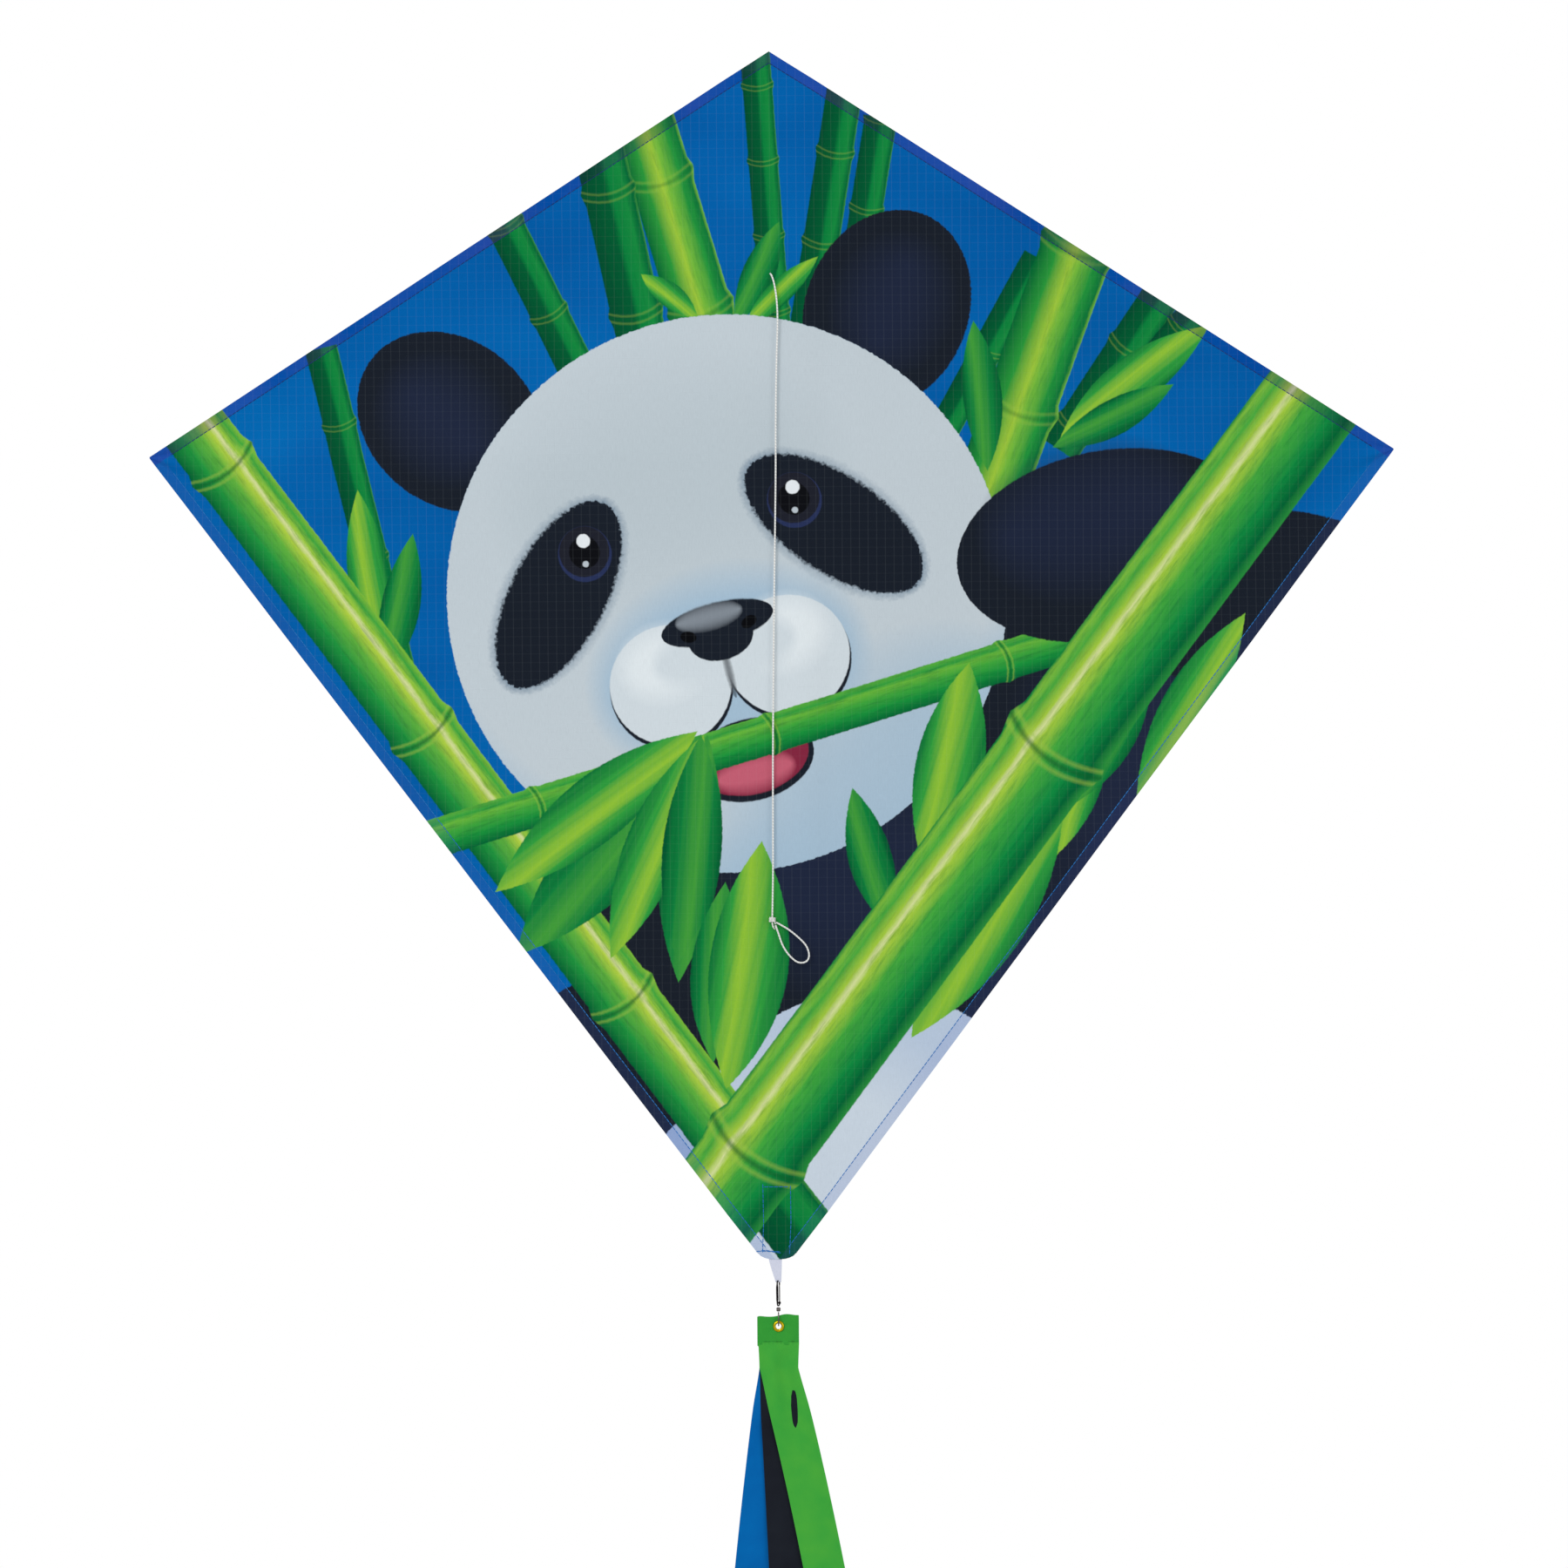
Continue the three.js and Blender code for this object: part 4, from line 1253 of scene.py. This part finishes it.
def wing_place(side, away):
    """A place on a cross spar's middle line, away from the hinge."""
    return np.array([side * (HINGE_X + away * math.cos(LEAN)), AXIS_Y + away * math.sin(LEAN), 0.0])


def arm_place(side, away):
    """A place on an arm's middle line, which runs level up to the hinge and then along the spar."""
    return wing_place(side, away) if away > 0 else np.array([side * (HINGE_X + away), AXIS_Y, 0.0])


def make_rod(name, start, end, radius, body, node):
    """A rod with chamfered, slightly worn ends."""
    start, end = np.asarray(start, float), np.asarray(end, float)
    length = np.linalg.norm(end - start)
    places = np.concatenate([[0, 0.35], np.linspace(3, length - 3, 60), [length - 0.35, length]])
    path = start + (end - start) * (places / length)[:, None]
    radii = np.full(len(places), radius) + 0.012 * np.sin(places * 0.31)
    radii[[0, -1]] = radius - 0.35
    settle(joined(name, [tube_mesh(path, radii, 24)], ROD), body, "fibreglass", node)


def make_cap(name, inside, out, rod_radius, body, node):
    """A moulded cap pushed over a rod's end. inside is its mouth and out the way it points."""
    radius = rod_radius + CAP_WALL
    profile = [
        (radius - 0.75, 0.15),
        (radius - 0.25, 0.0),
        (radius, 0.3),
        (radius, 1.9),
        (radius - 0.22, 2.2),
        (radius - 0.22, 3.0),
        (radius, 3.3),
        (radius, CAP_DEPTH - 1.6),
        (radius - 0.3, CAP_DEPTH - 0.6),
        (radius - 1.0, CAP_DEPTH - 0.1),
        (0.3, CAP_DEPTH),
    ]
    settle(joined(name, [lathe_mesh(profile, out, inside, 36)], VINYL), body, "vinyl", node)


def rounded_outline(half_x, half_y, corner, count=64):
    """Points round a rectangle with round corners, spaced by angle."""
    angles = np.linspace(0, 2 * np.pi, count, endpoint=False)
    points = []
    for angle in angles:
        direction = np.array([math.cos(angle), math.sin(angle)])
        reach = min(half_x / max(abs(direction[0]), 1e-9), half_y / max(abs(direction[1]), 1e-9))
        point = direction * reach
        inner = np.array([half_x - corner, half_y - corner])
        over = np.abs(point) - inner
        if (over > 0).all():
            low, high = 0.0, reach
            for _ in range(40):
                mid = (low + high) / 2
                gap = np.abs(direction * mid) - inner
                if (gap > 0).all() and np.hypot(*gap) > corner:
                    high = mid
                else:
                    low = mid
            point = direction * low
        points.append(point)
    return np.array(points)


def make_centre_fitting():
    """The moulded cross fitting, bored for the spine. Its back is flat."""
    low, high = box_mm("centre_block")
    half_x, half_y, half_z = (high - low) / 2
    centre_y = (low[1] + high[1]) / 2
    count = 64
    edge, groove, lip = 0.7, 0.25, 0.6
    bore = SPINE_R + 0.12
    outside = [
        (-half_z, edge),
        (-half_z + 0.2, groove),
        (-half_z + edge, 0.0),
        (-8.2, 0.0),
        (-7.9, 0.0),
        (-7.6, groove),
        (7.6, groove),
        (7.9, 0.0),
        (8.2, 0.0),
        (half_z - edge, 0.0),
        (half_z - 0.2, groove),
        (half_z, edge),
    ]
    rings = []
    for z, inset in outside:
        x, y = rounded_outline(half_x - inset, half_y - inset, 2.0, count).T
        rings.append(np.column_stack([x, centre_y + y, np.full(count, z)]))
    angles = np.linspace(0, 2 * np.pi, count, endpoint=False)
    inside = [(half_z, bore + lip), (half_z - lip, bore), (-half_z + lip, bore), (-half_z, bore + lip)]
    for z, radius in inside:
        x, y = radius * np.cos(angles), radius * np.sin(angles)
        rings.append(np.column_stack([x, AXIS_Y + y, np.full(count, z)]))
    points = np.concatenate(rings)
    uvs = np.column_stack([points[:, 0] + points[:, 1], points[:, 2]])
    faces = ring_faces(len(rings), count, closed=True)
    fitting = make_object("centre_fitting", points, faces, uvs, [VINYL])
    settle(fitting, "airframe", "vinyl", "centre_block")


def arm_mesh(path, radii, side):
    """A tube whose rings stay square to the spar, so that it can turn back inside its own mouth."""
    sides = 32
    points, uvs = [], []
    for place, radius in zip(path, radii):
        lean = LEAN * min(max((abs(place[0]) - HINGE_X) / 2 + 0.5, 0), 1)
        out = np.array([-side * math.sin(lean), math.cos(lean), 0.0])
        points.extend(ring(place, radius, out, np.array([0, 0, 1.0]), sides))
        uvs.extend((abs(place[0]), radius * 2 * math.pi * k / sides) for k in range(sides))
    faces = ring_faces(len(path), sides)
    return points, faces if side > 0 else [face[::-1] for face in faces], uvs


def make_arm(name, side):
    """The fitting's soft arm: ribbed where it bends, then a plain sleeve over the spar."""
    radius, rib_depth, rib_pitch, bend = 3.75, 0.42, 2.1, 4.5
    mouth = [(27.8, radius - 0.15), (28.0, radius - 0.5), (28.0, 2.2), (27.4, 1.95), (22.0, 1.95)]
    path, radii = [], []
    for away in [*np.linspace(-5.2, 6.5, 60), *np.linspace(7, 27.4, 30)]:
        wave = rib_depth * math.cos(away * 2 * math.pi / rib_pitch) - rib_depth
        path.append(arm_place(side, away))
        radii.append(radius + wave if -4.2 < away < 5.3 else radius)
    for away, mouth_radius in mouth:
        path.append(arm_place(side, away))
        radii.append(mouth_radius)
    arm = joined(f"{name}_arm_sleeve", [arm_mesh(path, radii, side)], VINYL)
    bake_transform(arm)
    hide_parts(f"{name}_connector_arm")


SPINE_LOW, SPINE_HIGH = box_mm("spine_rod")[0][2], box_mm("spine_rod")[1][2]
SPAR_START, SPAR_END = 5, HALF - HINGE_X - 12  # from the hinge, out along the wing
make_rod("spine", (0, AXIS_Y, SPINE_LOW), (0, AXIS_Y, SPINE_HIGH), SPINE_R, "airframe", "spine_rod")
make_cap("nose_end_cap", (0, AXIS_Y, SPINE_HIGH - CAP_GRIP), (0, 0, 1), SPINE_R, "airframe", "nose_cap")
make_cap("tail_end_cap", (0, AXIS_Y, SPINE_LOW + CAP_GRIP), (0, 0, -1), SPINE_R, "airframe", "tail_cap")
make_centre_fitting()
for spar_name, spar_side in (("left", -1), ("right", 1)):
    body = f"{spar_name}_wing"
    spar_start, spar_end = wing_place(spar_side, SPAR_START), wing_place(spar_side, SPAR_END)
    spar_way = (spar_side * math.cos(LEAN), math.sin(LEAN), 0)
    cap_mouth = wing_place(spar_side, SPAR_END - CAP_GRIP)
    make_rod(f"{spar_name}_spar", spar_start, spar_end, SPAR_R, body, f"{spar_name}_cross_spar")
    make_cap(f"{spar_name}_spar_cap", cap_mouth, spar_way, SPAR_R, body, f"{spar_name}_tip_cap")
    make_arm(spar_name, spar_side)

# ---- Ribbon, snap and swivel ----

TAIL_X = EYELET[0]
SNAP_TURN = math.radians(-18)
SNAP_LOW, SNAP_HIGH = box_mm("snap_frame")
SNAP_WIDTH = 5.2
WIRE_R = 0.45
GATE_R = 0.36
BAR_Z = SNAP_HIGH[2] - WIRE_R
RIBBON_WIDTH = 7.5
RIBBON_CLOTH = 0.16


def snap_place(u, z):
    """A place in the snap's own turned plane."""
    return np.array([TAIL_X - u * math.sin(SNAP_TURN), SAIL_Y + u * math.cos(SNAP_TURN), z])


def make_ribbon():
    """A loop of ribbon, sewn into the sail's end and folded round the snap's bar."""
    curl = 0.64
    down = [(0.28, -489.6), (0.26, -492), (0.05, -494), (-0.3, -497.5), (-0.55, -501), (-0.66, -504.2)]
    turn = [(curl * math.cos(a), BAR_Z + curl * math.sin(a)) for a in np.linspace(math.pi, 2 * math.pi, 9)]
    up = [(0.66, -504.2), (0.6, -501), (0.5, -497.5), (0.52, -494), (0.62, -492), (0.66, -489.6)]
    path = smooth_path([(y, 0, z) for y, z in down + turn + up], 0.5)
    across = np.linspace(0, 1, 15)
    rows = []
    for y, _, z in path:
        drop = np.clip((-492.5 - z) / 12.5, 0, 1.1)  # it gathers from below the sail to the bar
        left = -5.0 + 3.7 * drop**1.15
        right = 2.9 - 0.5 * drop**1.5
        x = left + (right - left) * across
        fold = 0.22 * np.sin(across * 2 * np.pi * 1.5 + 0.8) * np.clip(drop, 0, 1) * (-1 if y < 0 else 1)
        rows.append(np.column_stack([x, SAIL_Y + y + fold, np.full(len(across), z)]))
    grid = np.array(rows)
    flat = np.stack(np.broadcast_arrays(across[None, :] * RIBBON_WIDTH, run_lengths(path)[:, None]), -1)
    ribbon = sheet_object("ribbon_tab", grid, flat, RIBBON_CLOTH, RIBBON, RIBBON)
    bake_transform(ribbon)
    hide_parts("ribbon_loop")


def make_snap_wire(half):
    """The snap's wire, from the gate's catch over the ribbon's bar and round to the gate's pivot."""
    top, low = BAR_Z, SNAP_LOW[2] + WIRE_R
    corners = [
        (half + 0.1, top - 2.6),
        (half, top - 1.3),
        (half - 0.5, top - 0.35),
        (half - 1.4, top),
        (-half + 1.4, top),
        (-half + 0.5, top - 0.35),
        (-half, top - 1.3),
        (-half - 0.1, top - 5),
        (-half + 0.1, top - 10),
        (-half, low + 1.4),
        (-half + 0.5, low + 0.4),
        (-half + 1.4, low),
        (half - 1.4, low),
        (half - 0.4, low + 0.4),
        (half, low + 1.5),
        (half, low + 2.6),
    ]
    path = smooth_path([snap_place(u, z) for u, z in corners], 0.3)
    heights = path[:, 2]
    straight = smooth_step(heights, low + 1.5, low + 4) * (1 - smooth_step(heights, top - 4, top - 1.5))
    radii = WIRE_R + 0.25 * straight * (path[:, 0] < TAIL_X)  # thicker down the side away from the gate
    radii[0], radii[-1] = 0.3, 0.3
    pin = [(0.1, -0.75), (0.62, -0.72), (0.72, -0.55), (0.72, 0.55), (0.62, 0.72), (0.1, 0.75)]
    pin_way = (math.cos(SNAP_TURN), math.sin(SNAP_TURN), 0)
    pivot = lathe_mesh(pin, pin_way, snap_place(half - 0.05, low + 1.6), 16)
    wire = joined("snap_wire", [tube_mesh(path, radii, 14), pivot], DARK_STEEL)
    settle(wire, "snap", "dark_steel", "snap_frame")


def make_snap_gate(half):
    """The sprung wire that closes the snap."""
    low, high = box_mm("snap_gate")
    corners = [(half, low[2] + 0.3), (half + 0.12, -514), (half + 0.05, -510), (half - 0.05, high[2] - 0.1)]
    path = smooth_path([snap_place(u, z) for u, z in corners], 0.4)
    radii = np.full(len(path), GATE_R)
    radii[0], radii[-1] = 0.24, 0.24
    wire = joined("snap_gate_wire", [tube_mesh(path, radii, 12)], BRIGHT_STEEL)
    settle(wire, "gate", "bright_steel", "snap_gate")


def make_swivel():
    """The barrel below the snap, and the wire eye that turns in it and goes through the eyelet."""
    barrel_low, barrel_high = box_mm("swivel_barrel")
    height = barrel_high[2] - barrel_low[2]
    end = [(0.15, 0), (0.75, 0), (1.0, 0.25), (1.28, 0.6)]
    groove = [(1.3, 0.9), (1.16, 1.05), (1.16, 1.25), (1.3, 1.4)]
    profile = end + groove + [(radius, height - z) for radius, z in end[::-1]]
    turned = lathe_mesh(profile, (0, 0, 1), (TAIL_X, SAIL_Y, barrel_low[2]), 32)
    barrel = joined("swivel_bead", [turned], BRIGHT_STEEL)
    settle(barrel, "snap", "bright_steel", "swivel_barrel")

    wire_r, count = 0.38, 72
    ring_low, ring_high = box_mm("swivel_ring")
    half = (ring_high[1] - ring_low[1]) / 2 - 0.4
    mid, reach = (ring_low[2] + ring_high[2]) / 2, (ring_high[2] - ring_low[2]) / 2 - 0.4
    outline = rounded_outline(half, reach, 1.35, count)
    neck = 1 - 0.28 * smooth_step(outline[:, 1], reach * 0.2, reach)
    path = np.column_stack([np.full(count, TAIL_X), SAIL_Y + outline[:, 0] * neck, mid + outline[:, 1]])
    eye = joined("swivel_eye", [tube_mesh(path, wire_r, 12, closed=True)], BRIGHT_STEEL)
    settle(eye, "swivel", "bright_steel", "swivel_ring")


make_ribbon()
make_snap_wire(SNAP_WIDTH / 2 - WIRE_R)
make_snap_gate(SNAP_WIDTH / 2 - WIRE_R)
make_swivel()

# ---- Tail head, eyelet and streamers ----

EYELET_BARREL_R = 2.2
STREAMER_CLOTH = 0.22


def make_tail_head():
    """The streamers' sewn top: folded cloth, bored for the eyelet."""
    left, right = HEAD_LOW[0], HEAD_HIGH[0]
    top, low = HEAD_HIGH[2], HEAD_LOW[2]
    count = 120
    angles = np.linspace(0, 2 * np.pi, count, endpoint=False)
    ways = np.column_stack([np.cos(angles), np.sin(angles)])
    centre = np.array([EYELET[0], EYELET[2]])
    outer = []
    for way in ways:
        room = np.where(way > 0, [right, top], [left, low]) - centre
        meets = np.abs(way) > 1e-9
        outer.append(centre + way * np.min(room[meets] / way[meets]))
    outer = np.array(outer)
    at_top = smooth_step(outer[:, 1], top - 3, top)
    from_left = outer[:, 0] - left
    wave = 0.5 * np.sin(from_left * 0.42 + 0.5) - 0.54 * np.exp(-(((from_left - 4.5) / 3.5) ** 2))
    outer[:, 1] += at_top * (wave - 0.35 + 0.05 * (outer[:, 0] - centre[0]))
    inner = centre + EYELET_BARREL_R * ways
    shares = np.array([0, 0.04, 0.1, 0.2, 0.3, 0.4, 0.5, 0.6, 0.7, 0.8, 0.88, 0.94, 0.975, 1.0])
    rings, flats = [], []

    def layer(sign, order):
        for share in order:
            flat = inner + (outer - inner) * share
            away = np.hypot(*(flat - centre).T)
            bearing = np.arctan2(flat[:, 1] - centre[1], flat[:, 0] - centre[0])
            pucker = 0.16 * np.sin(bearing * 7 + 1) * np.exp(-((away - 4.5) ** 2) / 18)
            edge = 0.42 * smooth_step(share, 0.86, 1.0)
            pinch = 0.28 * (1 - smooth_step(away, 3.4, 5.5))
            pleat = 0.35 * np.sin(flat[:, 0] * 0.75 + 0.6) * smooth_step(-flat[:, 1], -low - 9, -low)
            swell = 0.12 * np.sin(flat[:, 0] * 0.5 + flat[:, 1] * 0.4)
            y = SAIL_Y + sign * (0.95 - edge - pinch) + pucker + pleat * 0.7 + swell
            rings.append(np.column_stack([flat[:, 0], y, flat[:, 1]]))
            flats.append(flat + (0 if sign < 0 else 40))

    layer(-1, shares)
    layer(1, shares[::-1])
    # A quad's first corner sets which way it splits into triangles, so each starts at its second one.
    faces = [face[1:] + face[:1] for face in ring_faces(len(rings), count, closed=True)]
    head = make_object("tail_head_cloth", np.concatenate(rings), faces, np.concatenate(flats), [SHADED_HEAD_GREEN])
    settle(head, "tail_head", "green_cloth", "tail_head")

    def on_head(x, z, back):
        return np.array([x, SAIL_Y + back, z])

    rows = []
    for z in (low + 1.6, low + 3.0):
        for back in (-1.0, 1.0):
            line = [(left + 1.2, z), (right - 1.2, z)]
            rows.append(stitch_row(line, length=1.8, gap=0.6, radius=0.16, back=back, on=on_head))
    settle(joined("tail_head_stitching", rows, GREEN_THREAD), "tail_head", "green_cloth")


def make_eyelet():
    """A brass eyelet: a rolled flange in front, a flatter one behind, and a barrel between."""
    outer, hole, depth = 3.5, 1.7, 1.45
    profile = [
        (hole, -depth + 0.5),
        (hole + 0.12, -depth + 0.12),
        (hole + 0.5, -depth - 0.12),
        (hole + 0.95, -depth - 0.16),
        (outer - 0.4, -depth + 0.05),
        (outer - 0.08, -depth + 0.35),
        (outer, -depth + 0.7),
        (outer - 0.25, -depth + 0.78),
        (EYELET_BARREL_R - 0.02, -depth + 0.62),
        (EYELET_BARREL_R - 0.02, depth - 0.55),
        (outer - 0.5, depth - 0.6),
        (outer - 0.25, depth - 0.45),
        (outer - 0.35, depth - 0.15),
        (hole + 0.6, depth),
        (hole + 0.15, depth - 0.2),
        (hole, depth - 0.6),
    ]
    eyelet = joined("tail_grommet", [lathe_mesh(profile, (0, 1, 0), EYELET, 56, closed=True)], BRASS)
    settle(eyelet, "tail_head", "eyelet_brass", "tail_eyelet")


def streamer_x(lean, drift, depth):
    """The middle of a streamer: it leaves at a slope lean, and ends up drift to one side."""
    share = np.clip(depth / STREAMER_LENGTH, 0, 1)
    return TAIL_X + lean * depth.clip(0) * (1 - share) ** 2 + drift * share**2 * (3 - 2 * share)


def make_streamer(colour, layer, lean, drift, material, phase, twist):
    """A limp strip that hangs from the tail head, with soft ripples that grow downwards."""
    end = STREAMER_HINGE_Z - STREAMER_END_Z
    depth = np.concatenate([np.linspace(-15.5, 60, 110), np.linspace(62, end, 330)])[:, None]
    across = np.linspace(-1, 1, 17)[None, :]
    low = smooth_step(depth, 0, 300)
    half = STREAMER_WIDTH / 2 * (1 - 0.07 * np.exp(-(((depth - 2) / 16) ** 2)))
    flutter = 0.1 * np.sin(depth / 37 + phase * 2) * smooth_step(depth, 10, 120)
    turn = twist * low * np.sin(depth / 150 + phase) + flutter
    x = streamer_x(lean, drift, depth) + across * half * np.cos(turn)
    ripple = (1.3 * np.sin(depth / 58 + 0.4) + 0.5 * np.sin(depth / 23 + 1.2)) * low
    cup = 1.1 * (across**2 - 0.4) * np.sin(depth / 90 + phase) * smooth_step(depth, 20, 200)
    near_head = np.exp(-(((depth - 8) / 34) ** 2)) * smooth_step(depth, -15, -4)
    pleats = 1.2 * np.sin(across * 4.2 + depth / 26 + 0.3) * near_head
    hem = 0.12 * np.sin(depth / 3.2) * np.abs(across) ** 6
    gap = 1.0 + 2.4 * smooth_step(depth, 10, 260)
    y = SAIL_Y + layer * gap + ripple + cup + pleats + hem + across * half * np.sin(turn) * 0.55
    z = STREAMER_HINGE_Z - depth + 0.0 * across
    grid = np.stack([x, y, z], -1)
    flat = np.stack(np.broadcast_arrays(across * STREAMER_WIDTH / 2, -depth), -1)
    name = f"{colour}_streamer"
    streamer = sheet_object(name, grid[::-1], flat[::-1], STREAMER_CLOTH, material, material)
    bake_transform(streamer)
    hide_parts(f"{colour}_tail")


make_tail_head()
make_eyelet()
make_streamer("green", -1, 0.25, 78, GREEN, phase=0.3, twist=0.35)
make_streamer("black", 0, 0.055, 14, BLACK, phase=1.7, twist=0.3)
make_streamer("blue", 1, -0.14, -44, BLUE, phase=2.9, twist=0.35)

# ---- Floor and light ----

FLOOR_Z = -1680.0
FLOOR_REACH = 3000.0
FADE_START, FADE_WIDTH = 0.9, 1.9  # the stretch over which the floor fades out, in metres


def make_floor():
    """A pale floor well below the tail, which fades into the surroundings at its rim."""
    side = np.linspace(-FLOOR_REACH, FLOOR_REACH, 61)
    x, y = np.meshgrid(side, side)
    grid = np.stack([x, y, np.full(x.shape, FLOOR_Z)], -1)
    g = Graph("pale_floor")
    place = g.object_place(1.0)
    away = g.vector("LENGTH", g.vector("MULTIPLY", place, (1.0, 1.0, 0.0)), output="Value")
    grain = g.noise(place, 30.0, 3.0)
    shade = g.mix(grain, srgb(236, 236, 236), srgb(244, 244, 244))
    shader = g.node("BsdfPrincipled", Base_Color=shade, Roughness=0.8)
    clear = g.node("BsdfTransparent")
    mix = g.node("MixShader", Fac=g.ramp01(away, 1 / FADE_WIDTH, -FADE_START / FADE_WIDTH))
    g.tree.links.new(shader.outputs[0], mix.inputs[1])
    g.tree.links.new(clear.outputs[0], mix.inputs[2])
    out = g.node("OutputMaterial")
    g.tree.links.new(mix.outputs[0], out.inputs[0])
    sheet_object("floor", grid, np.stack([x, y], -1), 2.0, g.material, g.material)


def area_light(name, place, target, size, watts):
    """A round lamp at a place, pointed at a target. Places and size are in metres."""
    data = bpy.data.lights.new(name, "AREA")
    data.shape, data.size, data.energy = "DISK", size, watts
    lamp = bpy.data.objects.new(name, data)
    bpy.context.collection.objects.link(lamp)
    lamp.location = place
    direction = Vector(target) - Vector(place)
    lamp.rotation_euler = direction.to_track_quat("-Z", "Y").to_euler()


def make_world(camera_level, light_level):
    """A white room: how bright the camera sees it, and how much light it gives."""
    world = bpy.data.worlds.new("studio")
    bpy.context.scene.world = world
    world.use_nodes = True
    tree = world.node_tree
    tree.nodes.clear()
    path = tree.nodes.new("ShaderNodeLightPath")
    seen, lit = tree.nodes.new("ShaderNodeBackground"), tree.nodes.new("ShaderNodeBackground")
    seen.inputs[0].default_value = lit.inputs[0].default_value = (1, 1, 1, 1)
    seen.inputs[1].default_value, lit.inputs[1].default_value = camera_level, light_level
    mix, out = tree.nodes.new("ShaderNodeMixShader"), tree.nodes.new("ShaderNodeOutputWorld")
    tree.links.new(path.outputs["Is Camera Ray"], mix.inputs[0])
    tree.links.new(lit.outputs[0], mix.inputs[1])
    tree.links.new(seen.outputs[0], mix.inputs[2])
    tree.links.new(mix.outputs[0], out.inputs[0])


make_floor()
make_world(camera_level=1.0, light_level=0.58)
area_light("key", (-1.6, -3.2, 1.8), (0, 0, -0.3), 2.2, 72)
area_light("fill", (2.6, -3.0, 0.2), (0, 0, -0.4), 2.4, 24)
area_light("back_fill", (0.6, 3.4, 1.4), (0, 0, -0.3), 2.6, 60)
bpy.context.scene.view_settings.view_transform = "Standard"
